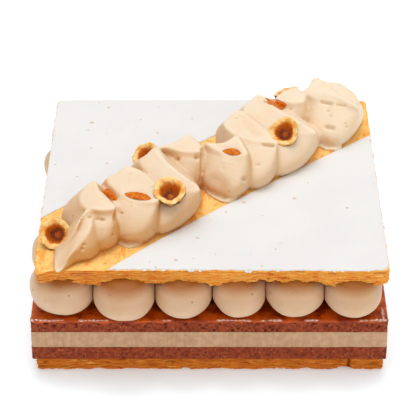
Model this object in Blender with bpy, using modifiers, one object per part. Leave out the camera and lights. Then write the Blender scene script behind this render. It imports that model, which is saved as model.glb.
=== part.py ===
"""A praline mille-feuille: a square layered pastry topped with one band of piped cream.

From the bottom: flaky pastry, a praline layer, a cream layer, a second praline layer under
caramel glaze, six rows of piped cream balls, and a pastry lid. The lid has two triangles of
white icing with a bare band between them, and a ruffle of cream piped along the band,
which holds half hazelnuts and small pools of praline.
"""

import math
from collections import namedtuple

import bmesh
import bpy
from mathutils import Matrix, Vector, noise

MM = 0.001

# The gap kept between pieces that touch.
CLEARANCE = 0.3 * MM

# The block of pressed layers, cut square with a knife, and the top of each layer.
BLOCK_WIDTH = 180.0 * MM
PASTRY_BASE_TOP = 8.0 * MM
PRALINE_LOWER_TOP = 15.3 * MM
MIDDLE_CREAM_TOP = 24.5 * MM
PRALINE_UPPER_TOP = 30.6 * MM
BLOCK_TOP = 31.7 * MM
PASTRY_BASE_WIDTH = 178.4 * MM
PASTRY_BASE_SEED = 3.0
LAYER_SPREAD = 0.7 * MM
LAYER_EDGE_ROUND = 0.4 * MM
GLAZE_EDGE_ROUND = 0.45 * MM

# The layer of piped cream balls: where neighbours meet along the front, how far each ball of
# the first row and all of the last reach from the block's middle, and the row pitch. A ball
# is wider than its share of the layer and is pressed flat where it meets a neighbour.
BALL_MEETINGS = tuple(x * MM for x in (-89.9, -58.4, -27.4, 1.6, 28.4, 58.0, 87.6))
BALL_FRONTS = tuple(y * MM for y in (93.0, 97.8, 95.2, 94.2, 94.0, 94.8))
BALL_BACK = 91.0 * MM
BALL_ROW_PITCH = 30.2 * MM
BALL_ROWS = 6
BALL_LAYER_TOP = 53.9 * MM
BALL_OVERFILL = 1.08
BALL_PLAN_POWER = 2.2
BALL_UPPER_POWER = 2.4
BALL_LOWER_POWER = 2.7
BALL_UNEVEN = 0.04
BALL_UNEVEN_SCALE = 1.3
BALL_ROW_SEED = 3.1
BALL_COLUMN_SEED = 1.7
FRONT_BALL_SEGMENTS = 16
FRONT_BALL_RINGS = 8
SIDE_BALL_SEGMENTS = 12
SIDE_BALL_RINGS = 7
INNER_BALL_SEGMENTS = 8
INNER_BALL_RINGS = 5

# The pastry lid.
LID_CENTRE = Vector((1.7, -1.9)) * MM
LID_WIDTH = 176.6 * MM
LID_BOTTOM = 54.5 * MM
LID_TOP = 60.0 * MM
PASTRY_LID_SEED = 7.0

# Flaky pastry edges: each leaf of dough by its rise through the thickness and how far it is
# set back, how raggedly the leaves end and how the underside and the top edge wander.
LEAVES = ((0.0, 0.2), (0.22, 0.0), (0.38, 1.0), (0.55, 0.1), (0.72, 0.9), (0.88, 0.0), (1.0, 0.45))
PASTRY_SIDE_POINTS = 15
PASTRY_CORNER = 1.2 * MM
LEAF_RAGGED = 1.1 * MM
LEAF_RAGGED_LENGTH = 7.0 * MM
LEAF_GROOVE = 0.9 * MM
UNDERSIDE_WAVE = 2.3 * MM
UNDERSIDE_WAVELENGTH = 17.0 * MM
UNDERSIDE_FINE_SCALE = 2.3
UNDERSIDE_FINE_SHARE = 0.6
TOP_EDGE_WEAR = 0.6 * MM
EDGE_MARGIN = 3.0 * MM
TOP_MARGIN = 2.0 * MM

# The two icing triangles, by the line that each keeps from the lid's diagonal.
ICING_THICKNESS = 0.55 * MM
ICING_FRONT_OFFSET = 23.2 * MM
ICING_BACK_OFFSET = -35.3 * MM
ICING_FRONT_SLOPE = 0.034
ICING_BACK_SLOPE = 0.02
ICING_RAGGED = 0.5 * MM
ICING_RAGGED_LENGTH = 4.0 * MM
ICING_EDGE_INSET = 0.8 * MM
ICING_STEP = 6.0 * MM
ICING_FRONT_SEED = 2.0
ICING_BACK_SEED = 5.0

# The piped ruffle is a row of folds along the lid's diagonal. Every fold rises from a rounded
# foot, bulges, and closes over a lip on a dished or domed top.
FOLD_CORNER_STEPS = 3
FOOT_ROUND = (0.4, 0.8)
WALL_STEPS = 5
LIP_RISE = 0.96
FOOT_TUCK = 0.05
BELLY_LOW = 0.8
TOP_RINGS = ((0.97, 0.0), (0.86, 0.35), (0.6, 0.95), (0.2, 1.0))

# Half hazelnuts: the hollow and the crown of the half nut are outlines from its axis.
NUT_STEPS = 12
NUT_RADIUS = 7.4 * MM
NUT_DEPTH = 7.6 * MM
NUT_RIM = 2.3 * MM
NUT_HOLLOW = 4.2 * MM
NUT_HOLLOW_OUTLINE = ((0.0, 1.0), (0.55, 0.8))
NUT_RIM_ROUND = 0.7 * MM
NUT_CROWN_ANGLES = (8, 32, 58, 90)
NUT_UNEVEN = 0.9 * MM
NUT_GRAIN = 5.0 * MM
NUT_POCKET = 0.5 * MM
NUT_POCKET_RISE = 2.5 * MM
NUT_SEED_STEP = 2.3

# Praline pools.
POOL_SEGMENTS = 11
POOL_RINGS = 4
POOL_THICKNESS = 1.5 * MM
POOL_DIP_RISE = 1.5 * MM

Fold = namedtuple("Fold", "name peak shoulder corner lip foot round belly dome dip front bow sag")
Nut = namedtuple("Nut", "place size face turn")
Pool = namedtuple("Pool", "place length width turn lean")

# Each fold of the ruffle, front to back, in millimetres along the band, across it and above
# the lid: the peak at its back left, its back right, its front right corner and the left end
# of its front lip. The foot gives the same four corners on the lid. Then come the rounding of
# the lip's corners, the bulge of the wall and how domed it is, the depth of the dish in the
# top and how far forward it lies, how far the sides bow out and how far the lip sags.
FOLDS = (
    Fold("tail", (-84.6, -6.0, 18.6), (-82.4, 0.5, 18.4), (-114.8, 8.2, 0.8), (-115.6, 7.8, 0.8),
         ((-84, -13), (-81, 9), (-104, 11), (-118, 6)), (0.3, 0.9), 0.10, 2.4, -0.5, 0.0, 4.0, 0.0),
    Fold("first", (-65.4, -20.0, 20.8), (-72.0, 7.0, 19.8), (-76.0, 8.6, 19.4), (-85.5, -6.4, 18.6),
         ((-60, -31), (-72, 11), (-91, 12), (-86, -27)), (0.1, 0.3), 0.12, 1.6, 0.6, 0.0, 0.0, 0.5),
    Fold("second", (-41.8, -20.5, 19.6), (-36.0, 2.0, 18.2), (-54.0, 18.2, 17.8), (-65.0, -14.0, 17.5),
         ((-38, -34), (-50, 17), (-79, 21), (-73, -28)), (0.1, 0.25), 0.10, 1.5, 2.4, 0.3, 0.0, 0.4),
    Fold("third", (-19.8, -22.5, 21.0), (-29.4, 21.8, 18.2), (-48.0, 21.0, 13.0), (-42.0, -22.0, 17.0),
         ((-14, -34), (-32, 19), (-57, 24), (-46, -34)), (0.15, 0.2), 0.07, 1.7, -1.5, 0.0, 0.0, 0.0),
    Fold("fourth", (2.0, -22.2, 20.5), (2.6, -4.0, 19.6), (-3.0, -4.5, 18.4), (-20.3, -22.0, 20.3),
         ((11, -34), (9, 5), (-14, 4), (-28, -24)), (0.1, 0.3), 0.07, 1.5, 0.6, 0.0, 0.0, 1.0),
    Fold("fifth", (18.0, -0.2, 21.3), (13.2, 12.5, 20.0), (11.0, 16.4, 19.3), (0.5, -7.0, 19.4),
         ((18, -8), (12, 20), (-10, 25), (-15, -3)), (0.1, 0.3), 0.16, 1.5, 2.0, 0.3, 0.0, 0.4),
    Fold("sixth", (40.4, -19.0, 21.6), (43.5, 2.0, 19.8), (31.4, 19.6, 19.2), (18.2, -0.8, 21.1),
         ((42, -34), (34, 18), (12, 25), (9, -30)), (0.1, 0.3), 0.10, 1.5, 0.8, 0.0, 0.0, 0.3),
    Fold("seventh", (61.0, -23.0, 21.9), (56.0, 24.2, 17.8), (40.0, 21.0, 13.5), (44.0, -20.0, 17.5),
         ((66, -34), (56, 21.5), (30, 26), (42, -34)), (0.15, 0.2), 0.07, 1.7, -1.2, 0.0, 0.0, 0.0),
    Fold("eighth", (82.8, -16.8, 20.6), (83.0, -3.0, 19.4), (76.0, -2.6, 18.6), (63.0, -19.5, 17.3),
         ((88, -28), (86, 6), (60, 12), (54, -24)), (0.15, 0.3), 0.10, 1.5, 0.8, 0.0, 0.0, 0.0),
    Fold("ninth", (96.6, -13.6, 23.2), (94.4, 24.4, 17.2), (76.0, 23.0, 12.5), (84.0, -9.0, 19.5),
         ((94, -24), (94, 23), (67, 27), (68, -1)), (0.15, 0.2), 0.07, 1.7, -1.2, 0.0, 0.0, 0.0),
    Fold("start", (110.0, -8.0, 16.8), (103.0, 16.0, 15.0), (94.0, 20.0, 16.6), (96.8, -13.6, 21.0),
         ((113, -10), (103, 19), (90, 22), (90, -20)), (0.3, 0.4), 0.08, 1.6, -1.0, 0.0, 0.0, 0.0),
)

# Each half nut: its rim's centre along and across the band and above the lid, its size
# against the common one, the way its cut face looks, and its turn about that.
NUTS = (
    Nut((-100.6, -12.0, 7.6), 1.0, (-0.12, -0.80, 0.59), 10.0),
    Nut((-45.7, 14.7, 19.4), 1.03, (-0.05, -0.45, 0.89), 40.0),
    Nut((40.1, 13.5, 21.4), 0.98, (-0.10, -0.70, 0.70), 75.0),
    Nut((-20.5, -32.0, 10.5), 1.0, (-0.45, -0.35, 0.82), 20.0),
    Nut((82.8, -22.4, 15.4), 1.0, (-0.30, 0.25, 0.92), 130.0),
)

# Each pool: its centre, its length and width, its turn in plan and its lean to the front.
POOLS = (
    Pool((-65.1, -11.6, 15.8), 10.5, 8.0, -20.0, 8.0),
    Pool((-56.1, 1.1, 15.5), 15.0, 7.0, -8.0, 15.0),
    Pool((8.2, 5.5, 17.3), 11.0, 5.4, -4.0, 18.0),
    Pool((62.4, -17.0, 17.2), 15.5, 9.0, -22.0, 22.0),
)


def new_collection(name):
    """Return a new collection linked to the scene."""
    collection = bpy.data.collections.new(name)
    bpy.context.scene.collection.children.link(collection)
    return collection


def make_material(name, colour, roughness):
    """Return a Principled material of one colour and roughness."""
    material = bpy.data.materials.new(name)
    material.use_nodes = True
    shader = material.node_tree.nodes["Principled BSDF"]
    shader.inputs["Base Color"].default_value = (*colour, 1.0)
    shader.inputs["Roughness"].default_value = roughness
    shader.inputs["Metallic"].default_value = 0.0
    material.diffuse_color = (*colour, 1.0)
    return material


def object_from(bm, name, collection, material, sharp_degrees=50.0):
    """Close a bmesh into a smooth shaded object of the collection."""
    bmesh.ops.recalc_face_normals(bm, faces=bm.faces)
    mesh = bpy.data.meshes.new(name)
    bm.to_mesh(mesh)
    bm.free()
    mesh.shade_smooth()
    mesh.set_sharp_from_angle(angle=math.radians(sharp_degrees))
    item = bpy.data.objects.new(name, mesh)
    if material:
        mesh.materials.append(material)
    collection.objects.link(item)
    return item


def signed_power(value, power):
    """Raise a number to a power and keep its sign."""
    return math.copysign(abs(value) ** power, value)


def row_to_world(along, across, height=0.0):
    """Turn a place given along and across the diagonal band into a world place."""
    half_root = math.sqrt(0.5)
    x = LID_CENTRE.x + (along + across) * half_root
    y = LID_CENTRE.y + (along - across) * half_root
    return Vector((x, y, LID_TOP + CLEARANCE + height))


def loft(bm, rings):
    """Join closed rings of points in turn and close both ends."""
    rows = [[bm.verts.new(point) for point in ring] for ring in rings]
    count = len(rows[0])
    for lower, upper in zip(rows, rows[1:]):
        for i in range(count):
            j = (i + 1) % count
            bm.faces.new((lower[i], lower[j], upper[j], upper[i]))
    bm.faces.new(rows[0][::-1])
    bm.faces.new(rows[-1])


# Layers of the block


def cut_layer(name, width, bottom, top, edge_round, material, collection):
    """Make one pressed layer of the block, a flat square with slightly rounded edges."""
    bm = bmesh.new()
    bmesh.ops.create_cube(bm, size=1.0)
    size = Vector((width, width, top - bottom))
    bmesh.ops.scale(bm, vec=size, verts=bm.verts)
    item = object_from(bm, name, collection, material)
    item.location.z = (bottom + top) / 2
    bevel = item.modifiers.new("edge", "BEVEL")
    bevel.width = edge_round
    bevel.segments = 1
    return item


def square_outline(width, corner, side_points):
    """Return points round a square with clipped corners."""
    half = width / 2
    points = []
    for quarter in range(4):
        turn = Matrix.Rotation(quarter * math.pi / 2, 2)
        for i in range(side_points):
            along = (half - corner) * (2 * i / (side_points - 1) - 1)
            points.append(turn @ Vector((half, along)))
    return points


def moved_in(point, inset):
    """Move a point of a square outline straight towards its middle, so no two points cross."""
    half = max(abs(point.x), abs(point.y))
    return point * (1 - inset / half)


def underside_height(point, wave, seed):
    """Return how far the underside of a sheet wanders at a place."""
    sample = Vector((point.x, point.y, seed * MM)) / UNDERSIDE_WAVELENGTH
    fine = UNDERSIDE_FINE_SHARE * noise.noise(sample * UNDERSIDE_FINE_SCALE)
    return (noise.noise(sample) + fine) * wave


def edge_wear(point, seed):
    """Return how far the top edge of a sheet is worn down at a place."""
    sample = Vector((point.x, point.y, -seed * MM)) * 2 / UNDERSIDE_WAVELENGTH
    return max(0.0, noise.noise(sample)) * TOP_EDGE_WEAR


def leaf_ring(outline, centre, leaf, bottom, top, wave, seed):
    """Return the ring of places where one leaf of dough ends."""
    rise, groove = LEAVES[leaf]
    ring = []
    for point in outline:
        sample = Vector((point.x, point.y, 0.0)) / LEAF_RAGGED_LENGTH
        ragged = noise.noise(sample + Vector((0.0, 0.0, 1.7 * leaf + seed)))
        place = centre + moved_in(point, groove * LEAF_GROOVE - ragged * LEAF_RAGGED)
        low = bottom + underside_height(point, wave, seed)
        high = top - edge_wear(point, seed)
        ring.append((place.x, place.y, low + (high - low) * rise))
    return ring


def flat_ring(outline, centre, inset, height):
    """Return a ring of places a little inside the outline at one height."""
    places = [centre + moved_in(point, inset) for point in outline]
    return [(place.x, place.y, height) for place in places]


def pastry_sheet(name, centre, width, bottom, top, wave, seed, material, collection):
    """Make a sheet of puff pastry whose leaves of dough end raggedly at the sides."""
    outline = square_outline(width, PASTRY_CORNER, PASTRY_SIDE_POINTS)
    rings = [flat_ring(outline, centre, EDGE_MARGIN, bottom)]
    for leaf in range(len(LEAVES)):
        rings.append(leaf_ring(outline, centre, leaf, bottom, top, wave, seed))
    rings.append(flat_ring(outline, centre, TOP_MARGIN, top))
    bm = bmesh.new()
    loft(bm, rings)
    return object_from(bm, name, collection, material, 35.0)


# Piped cream balls


def squared_direction(x, y, power):
    """Push a direction in plan outward from a circle to a rounded square."""
    length = math.hypot(x, y)
    if length < 1e-6:
        return 0.0, 0.0
    return signed_power(x / length, 2 / power), signed_power(y / length, 2 / power)


def cream_ball(name, centre, low, high, seed, segments, ring_count, material, collection):
    """Make one piped ball from its reach below and above its centre along each axis."""
    bm = bmesh.new()
    bmesh.ops.create_uvsphere(bm, u_segments=segments, v_segments=ring_count, radius=1.0)
    for vert in bm.verts:
        level = min(1.0, vert.co.xy.length)
        power = BALL_UPPER_POWER if vert.co.z > 0 else BALL_LOWER_POWER
        out = signed_power(level, 2 / power)
        up = signed_power(vert.co.z, 2 / power)
        x, y = squared_direction(vert.co.x, vert.co.y, BALL_PLAN_POWER)
        shape = Vector((x * out, y * out, up))
        shape *= 1.0 + BALL_UNEVEN * noise.noise(shape * BALL_UNEVEN_SCALE + Vector((seed, 0.0, seed)))
        for axis in range(3):
            reach, pressed = high[axis] if shape[axis] > 0 else low[axis]
            swell = BALL_OVERFILL if pressed else 1.0
            shape[axis] = max(-reach, min(reach, shape[axis] * reach * swell))
        vert.co = shape
    item = object_from(bm, name, collection, material, 70.0)
    item.location = centre
    return item


def ball_detail(row, column):
    """Return the segments and rings of a ball by how much of it shows."""
    if row == 0:
        return FRONT_BALL_SEGMENTS, FRONT_BALL_RINGS
    if row == BALL_ROWS - 1 or column in (0, len(BALL_MEETINGS) - 2):
        return SIDE_BALL_SEGMENTS, SIDE_BALL_RINGS
    return INNER_BALL_SEGMENTS, INNER_BALL_RINGS


def ball_reach(row, column):
    """Return a ball's centre and its reach each way, with whether a neighbour presses there."""
    gap = CLEARANCE / 2
    half_pitch = BALL_ROW_PITCH / 2
    half_width = (BALL_MEETINGS[column + 1] - BALL_MEETINGS[column]) / 2
    bottom = BLOCK_TOP + CLEARANCE
    half_height = (BALL_LAYER_TOP - bottom) / 2
    x = BALL_MEETINGS[column] + half_width
    y = (row - (BALL_ROWS - 1) / 2) * BALL_ROW_PITCH
    left = (half_width - gap, column > 0)
    right = (half_width - gap, column < len(BALL_MEETINGS) - 2)
    front = (half_pitch - gap, True)
    back = (half_pitch - gap, True)
    if row == 0:
        front = (BALL_FRONTS[column] + y, False)
    if row == BALL_ROWS - 1:
        back = (BALL_BACK - y, False)
    level = (half_height, True)
    return Vector((x, y, bottom + half_height)), (left, front, level), (right, back, level)


def cream_balls(material, collection):
    """Make the six rows of balls between the glaze and the lid."""
    for row in range(BALL_ROWS):
        for column in range(len(BALL_MEETINGS) - 1):
            centre, low, high = ball_reach(row, column)
            seed = row * BALL_ROW_SEED + column * BALL_COLUMN_SEED
            name = f"cream_ball_{row + 1}_{column + 1}"
            cream_ball(name, centre, low, high, seed, *ball_detail(row, column), material, collection)


# Icing


def icing_triangle(name, offset, slope, side, seed, material, collection):
    """Make one thin triangle of icing that fills a corner of the lid up to the bare band."""
    reach = LID_WIDTH / 2 - ICING_EDGE_INSET
    half_root = math.sqrt(0.5)

    def along_limit(across):
        return reach / half_root - abs(across)

    def line_across(along):
        ragged = noise.noise(Vector((along / ICING_RAGGED_LENGTH, seed, 0.0))) * ICING_RAGGED
        return offset + slope * along + ragged

    end = along_limit(offset)
    count = int(2 * end / ICING_STEP)
    points = []
    for i in range(count + 1):
        along = -end + 2 * end * i / count
        across = line_across(along)
        limit = along_limit(across)
        points.append((max(-limit, min(limit, along)), across))
    points.append((0.0, side * reach / half_root))
    bm = bmesh.new()
    low = []
    for along, across in points:
        place = row_to_world(along, across)
        low.append(bm.verts.new(place))
    face = bm.faces.new(low)
    raised = bmesh.ops.extrude_face_region(bm, geom=[face])
    top_verts = [item for item in raised["geom"] if isinstance(item, bmesh.types.BMVert)]
    bmesh.ops.translate(bm, vec=(0.0, 0.0, ICING_THICKNESS), verts=top_verts)
    return object_from(bm, name, collection, material, 30.0)


# Piped ruffle


def between_corners(corners, a, b):
    """Blend four corners, back left round to front left, at a place from -1 to 1 each way."""
    back_left, back_right, front_right, front_left = corners
    back = back_left.lerp(back_right, (a + 1) / 2)
    front = front_left.lerp(front_right, (a + 1) / 2)
    return front.lerp(back, (b + 1) / 2)


def rounded_square(round_a, round_b):
    """Return a ring of places round a square from -1 to 1 each way, with rounded corners."""
    ring = []
    for side_a, side_b, start in ((1, 1, 0), (-1, 1, 90), (-1, -1, 180), (1, -1, 270)):
        for step in range(FOLD_CORNER_STEPS + 1):
            angle = math.radians(start + 90 * step / FOLD_CORNER_STEPS)
            a = side_a * (1 - round_a) + round_a * math.cos(angle)
            b = side_b * (1 - round_b) + round_b * math.sin(angle)
            ring.append((a, b))
        if side_a == side_b:
            ring.append((0.0, float(side_b)))
    return ring


def fold_stations(fold):
    """List each ring of a fold: its rise, how far it closes, its corner rounding and its depth."""
    stations = []
    for step in range(WALL_STEPS + 1):
        rise = step / WALL_STEPS
        swell = fold.belly * math.sin(math.pi * rise ** BELLY_LOW)
        tuck = FOOT_TUCK * (1.0 - rise) ** 3
        stations.append((rise * LIP_RISE, 1.0 + swell - tuck, rise, 0.0))
    for close, depth in TOP_RINGS:
        stations.append((1.0, close, 1.0, depth))
    return stations


def fold_place(fold, a, b, rise, depth):
    """Return the place on a fold between its foot and its top."""
    foot = [Vector((along, across, 0.0)) for along, across in fold.foot]
    top = [Vector(point) for point in (fold.peak, fold.shoulder, fold.corner, fold.lip)]
    low = between_corners(foot, a, b)
    high = between_corners(top, a, b)
    place = low.lerp(high, rise ** fold.dome)
    sag = fold.sag * (1.0 - a * a) * (1.0 - b) / 2
    place.y += fold.bow * a * (1.0 - b * b)
    place.z = (high.z - sag) * rise - depth * fold.dip
    return row_to_world(*(place * MM))


def fold_body(fold, collection):
    """Make one fold of the ruffle."""
    rings = []
    for rise, close, sharpness, depth in fold_stations(fold):
        rounds = [low + (high - low) * sharpness for low, high in zip(FOOT_ROUND, fold.round)]
        forward = fold.front * (1.0 - min(close, 1.0))
        rings.append([fold_place(fold, a * close, b * close - forward, rise, depth)
                      for a, b in rounded_square(*rounds)])
    bm = bmesh.new()
    loft(bm, rings)
    return object_from(bm, f"fold_{fold.name}", collection, None)


def nut_profile(grow, hollow):
    """Return half of a nut's outline from the middle of its face round to its crown."""
    radius = NUT_RADIUS + grow
    points = []
    if hollow:
        for out, down in NUT_HOLLOW_OUTLINE:
            points.append((out * (radius - NUT_RIM), -down * NUT_HOLLOW))
        points.append((radius - NUT_RIM, 0.0))
    else:
        points.append((0.0, NUT_POCKET_RISE))
        points.append((radius - NUT_RIM_ROUND, NUT_POCKET_RISE))
    points.append((radius - NUT_RIM_ROUND, 0.0))
    for degrees in NUT_CROWN_ANGLES:
        angle = math.radians(degrees)
        points.append((radius * math.cos(angle), -(NUT_DEPTH + grow) * math.sin(angle)))
    return points


def turn_profile(bm, profile, steps):
    """Turn an outline that starts and ends on the axis into a closed body."""
    verts = [bm.verts.new((x, 0.0, z)) for x, z in profile]
    edges = [bm.edges.new(pair) for pair in zip(verts, verts[1:])]
    bmesh.ops.spin(bm, geom=verts + edges, axis=(0, 0, 1), cent=(0, 0, 0), steps=steps,
                   angle=2 * math.pi, use_merge=True)
    bmesh.ops.remove_doubles(bm, verts=bm.verts, dist=0.01 * MM)


def half_nut(name, nut, seed, grow, hollow, material, collection):
    """Make one half hazelnut, or the pocket that it is pressed into."""
    bm = bmesh.new()
    turn_profile(bm, nut_profile(grow, hollow), NUT_STEPS)
    for vert in bm.verts:
        if vert.co.xy.length > NUT_RADIUS / 2:
            sample = Vector((vert.co.x / NUT_GRAIN + seed, vert.co.y / NUT_GRAIN + seed, seed))
            vert.co.xy *= 1.0 + noise.noise(sample) * NUT_UNEVEN / NUT_RADIUS
    bmesh.ops.scale(bm, vec=(nut.size, nut.size, nut.size), verts=bm.verts)
    item = object_from(bm, name, collection, material, 40.0)
    item.location = row_to_world(*(value * MM for value in nut.place))
    facing = Vector(nut.face).normalized()
    turn = Matrix.Rotation(math.radians(nut.turn), 3, "Z").to_quaternion()
    item.rotation_mode = "QUATERNION"
    item.rotation_quaternion = facing.to_track_quat("Z", "Y") @ turn
    return item


def pool_body(name, pool, grow, material, collection):
    """Make one lens of praline, or the dip in the cream that holds it."""
    bm = bmesh.new()
    bmesh.ops.create_uvsphere(bm, u_segments=POOL_SEGMENTS, v_segments=POOL_RINGS, radius=1.0)
    half = Vector((pool.length * MM / 2 + grow, pool.width * MM / 2 + grow, POOL_THICKNESS / 2 + grow))
    bmesh.ops.scale(bm, vec=half, verts=bm.verts)
    if grow:
        raised = [vert for vert in bm.verts if vert.co.z > grow]
        bmesh.ops.translate(bm, vec=(0.0, 0.0, POOL_DIP_RISE), verts=raised)
    item = object_from(bm, name, collection, material)
    item.location = row_to_world(*(value * MM for value in pool.place))
    item.rotation_euler = (math.radians(pool.lean), 0.0, math.radians(pool.turn))
    return item


def join_by_union(pieces, name, material, collection, work):
    """Fuse bodies into one solid and remove them."""
    first = pieces[0]
    work.objects.unlink(first)
    collection.objects.link(first)
    union = first.modifiers.new("union", "BOOLEAN")
    union.operation = "UNION"
    union.solver = "MANIFOLD"
    union.operand_type = "COLLECTION"
    union.collection = work
    graph = bpy.context.evaluated_depsgraph_get()
    mesh = bpy.data.meshes.new_from_object(first.evaluated_get(graph))
    mesh.name = name
    mesh.materials.clear()
    mesh.materials.append(material)
    joined = bpy.data.objects.new(name, mesh)
    collection.objects.link(joined)
    for piece in pieces:
        bpy.data.objects.remove(piece)
    bpy.data.collections.remove(work)
    return joined


def piped_ruffle(material, collection, cutters):
    """Make the ruffle from its folds, with pockets for the nuts and the pools."""
    work = new_collection("folds")
    pieces = [fold_body(fold, work) for fold in FOLDS]
    ruffle = join_by_union(pieces, "piped_ruffle", material, collection, work)
    pockets = ruffle.modifiers.new("pockets", "BOOLEAN")
    pockets.operation = "DIFFERENCE"
    pockets.solver = "MANIFOLD"
    pockets.operand_type = "COLLECTION"
    pockets.collection = cutters
    return ruffle


def hide_cutter(cutter):
    """Show a cutter as a wire only."""
    cutter.hide_render = True
    cutter.display_type = "WIRE"


def block_layers(pastry, praline, filling, glaze, collection):
    """Make the pastry base and the pressed layers on it, up to the glaze."""
    pastry_sheet("pastry_base", Vector((0.0, 0.0)), PASTRY_BASE_WIDTH, 0.0,
                 PASTRY_BASE_TOP - CLEARANCE, 0.0, PASTRY_BASE_SEED, pastry, collection)
    layers = (
        ("praline_lower", LAYER_SPREAD, PASTRY_BASE_TOP, PRALINE_LOWER_TOP, LAYER_EDGE_ROUND, praline),
        ("middle_cream", LAYER_SPREAD / 2, PRALINE_LOWER_TOP, MIDDLE_CREAM_TOP, LAYER_EDGE_ROUND, filling),
        ("praline_upper", 0.0, MIDDLE_CREAM_TOP, PRALINE_UPPER_TOP, LAYER_EDGE_ROUND, praline),
        ("caramel_glaze", 0.0, PRALINE_UPPER_TOP, BLOCK_TOP + CLEARANCE, GLAZE_EDGE_ROUND, glaze),
    )
    for name, spread, bottom, top, edge_round, material in layers:
        cut_layer(name, BLOCK_WIDTH + spread, bottom, top - CLEARANCE, edge_round, material, collection)


def iced_lid(pastry, icing, collection):
    """Make the pastry lid and the icing on its two corners."""
    pastry_sheet("pastry_lid", LID_CENTRE, LID_WIDTH, LID_BOTTOM, LID_TOP, UNDERSIDE_WAVE,
                 PASTRY_LID_SEED, pastry, collection)
    icing_triangle("icing_front", ICING_FRONT_OFFSET, ICING_FRONT_SLOPE, 1, ICING_FRONT_SEED,
                   icing, collection)
    icing_triangle("icing_back", ICING_BACK_OFFSET, ICING_BACK_SLOPE, -1, ICING_BACK_SEED,
                   icing, collection)


def toppings(nut_material, pool_material, collection, cutters):
    """Make the half nuts and the pools, and the pocket and the dip that each sits in."""
    for number, nut in enumerate(NUTS, 1):
        seed = number * NUT_SEED_STEP
        half_nut(f"hazelnut_{number}", nut, seed, 0.0, True, nut_material, collection)
        hide_cutter(half_nut(f"nut_pocket_{number}", nut, seed, NUT_POCKET, False, None, cutters))
    for number, pool in enumerate(POOLS, 1):
        pool_body(f"praline_pool_{number}", pool, 0.0, pool_material, collection)
        hide_cutter(pool_body(f"pool_dip_{number}", pool, CLEARANCE, None, cutters))


def build():
    """Model the whole mille-feuille."""
    for item in list(bpy.data.objects):
        bpy.data.objects.remove(item)
    parts = new_collection("praline_mille_feuille")
    cutters = new_collection("cutters")
    pastry = make_material("golden_pastry", (0.72, 0.36, 0.08), 0.75)
    praline = make_material("praline", (0.27, 0.08, 0.03), 0.8)
    filling = make_material("beige_cream", (0.58, 0.37, 0.22), 0.6)
    glaze = make_material("caramel_glaze", (0.33, 0.06, 0.01), 0.12)
    ball_cream = make_material("ball_cream", (0.70, 0.50, 0.34), 0.55)
    ruffle_cream = make_material("ruffle_cream", (0.84, 0.62, 0.40), 0.5)
    icing = make_material("white_icing", (0.86, 0.85, 0.83), 0.6)
    roasted_nut = make_material("roasted_nut", (0.75, 0.36, 0.09), 0.5)
    soft_praline = make_material("soft_praline", (0.60, 0.17, 0.01), 0.25)

    block_layers(pastry, praline, filling, glaze, parts)
    cream_balls(ball_cream, parts)
    iced_lid(pastry, icing, parts)
    toppings(roasted_nut, soft_praline, parts, cutters)
    piped_ruffle(ruffle_cream, parts, cutters)


build()
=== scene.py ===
"""A praline mille-feuille, dressed in the order that it is put together: the pressed block from
its pastry base to its caramel glaze, the piped balls, the iced pastry lid and the ruffle."""

import math
import random

import bmesh
import bpy
import numpy as np
from mathutils import Matrix, Vector, geometry, noise


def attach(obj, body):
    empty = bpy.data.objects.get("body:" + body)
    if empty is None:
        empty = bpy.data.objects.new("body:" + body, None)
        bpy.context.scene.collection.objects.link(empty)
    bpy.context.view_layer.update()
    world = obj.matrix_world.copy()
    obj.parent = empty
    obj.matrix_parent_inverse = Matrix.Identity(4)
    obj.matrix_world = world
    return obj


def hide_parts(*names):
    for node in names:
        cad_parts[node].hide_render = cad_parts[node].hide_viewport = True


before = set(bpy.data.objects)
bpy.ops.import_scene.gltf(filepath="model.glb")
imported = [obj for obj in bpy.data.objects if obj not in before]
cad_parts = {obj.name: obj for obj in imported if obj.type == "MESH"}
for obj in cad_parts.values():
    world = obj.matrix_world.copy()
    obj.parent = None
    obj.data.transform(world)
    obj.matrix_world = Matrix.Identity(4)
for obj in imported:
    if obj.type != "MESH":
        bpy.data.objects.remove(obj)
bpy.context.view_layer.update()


# Pastry base
# The bottom sheet of puff pastry, baked flat under a tray and cut square with a saw knife.
# Its leaves of dough end raggedly at the sides, and its lower edge has crumbled in places.

MM = 0.001
BASE_CENTRE = Vector((0.3 * MM, 0.0))
BASE_HALF = 89.1 * MM
BASE_CORNER = 1.2 * MM
BASE_TOP = 8.0 * MM
BASE_LEAVES = 8
BASE_SEED = 3.0
BASE_CRUMBLE = 1.5 * MM
BASE_CRUMBLE_LENGTH = 9.0 * MM
BASE_CRUMBLE_REACH = 4.0 * MM
BASE_CRUMBLE_SEED = 12.0
BASE_CRACK_X = 71.2 * MM
BASE_CRACK_WIDTH = 0.9 * MM
BASE_CRACK_DEPTH = 2.2 * MM
# The end of a leaf from its underside up: how far up, and how deep it is grooved there.
LEAF_PROFILE = ((0.0, 0.75), (0.16, 0.1), (0.55, 0.0), (0.8, 0.2))
LEAF_GROOVE = 1.0 * MM
LEAF_WANDER = 0.36
LEAF_WANDER_LENGTH = 15.0 * MM
LEAF_RAGGED = 1.15 * MM
LEAF_RAGGED_LENGTH = 5.0 * MM
LEAF_CHIPPED = 0.45 * MM
LEAF_CHIPPED_LENGTH = 1.3 * MM
LEAF_SHARP_DEGREES = 50.0
LEAF_FLAT_DEPTH = 0.35
HOLE_DEPTH = 1.5 * MM
HOLE_LENGTH = 8.0 * MM
HOLE_RARITY = 0.3
HOLE_STEEPNESS = 6
HOLE_FIRST_SEED = 40.0
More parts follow.
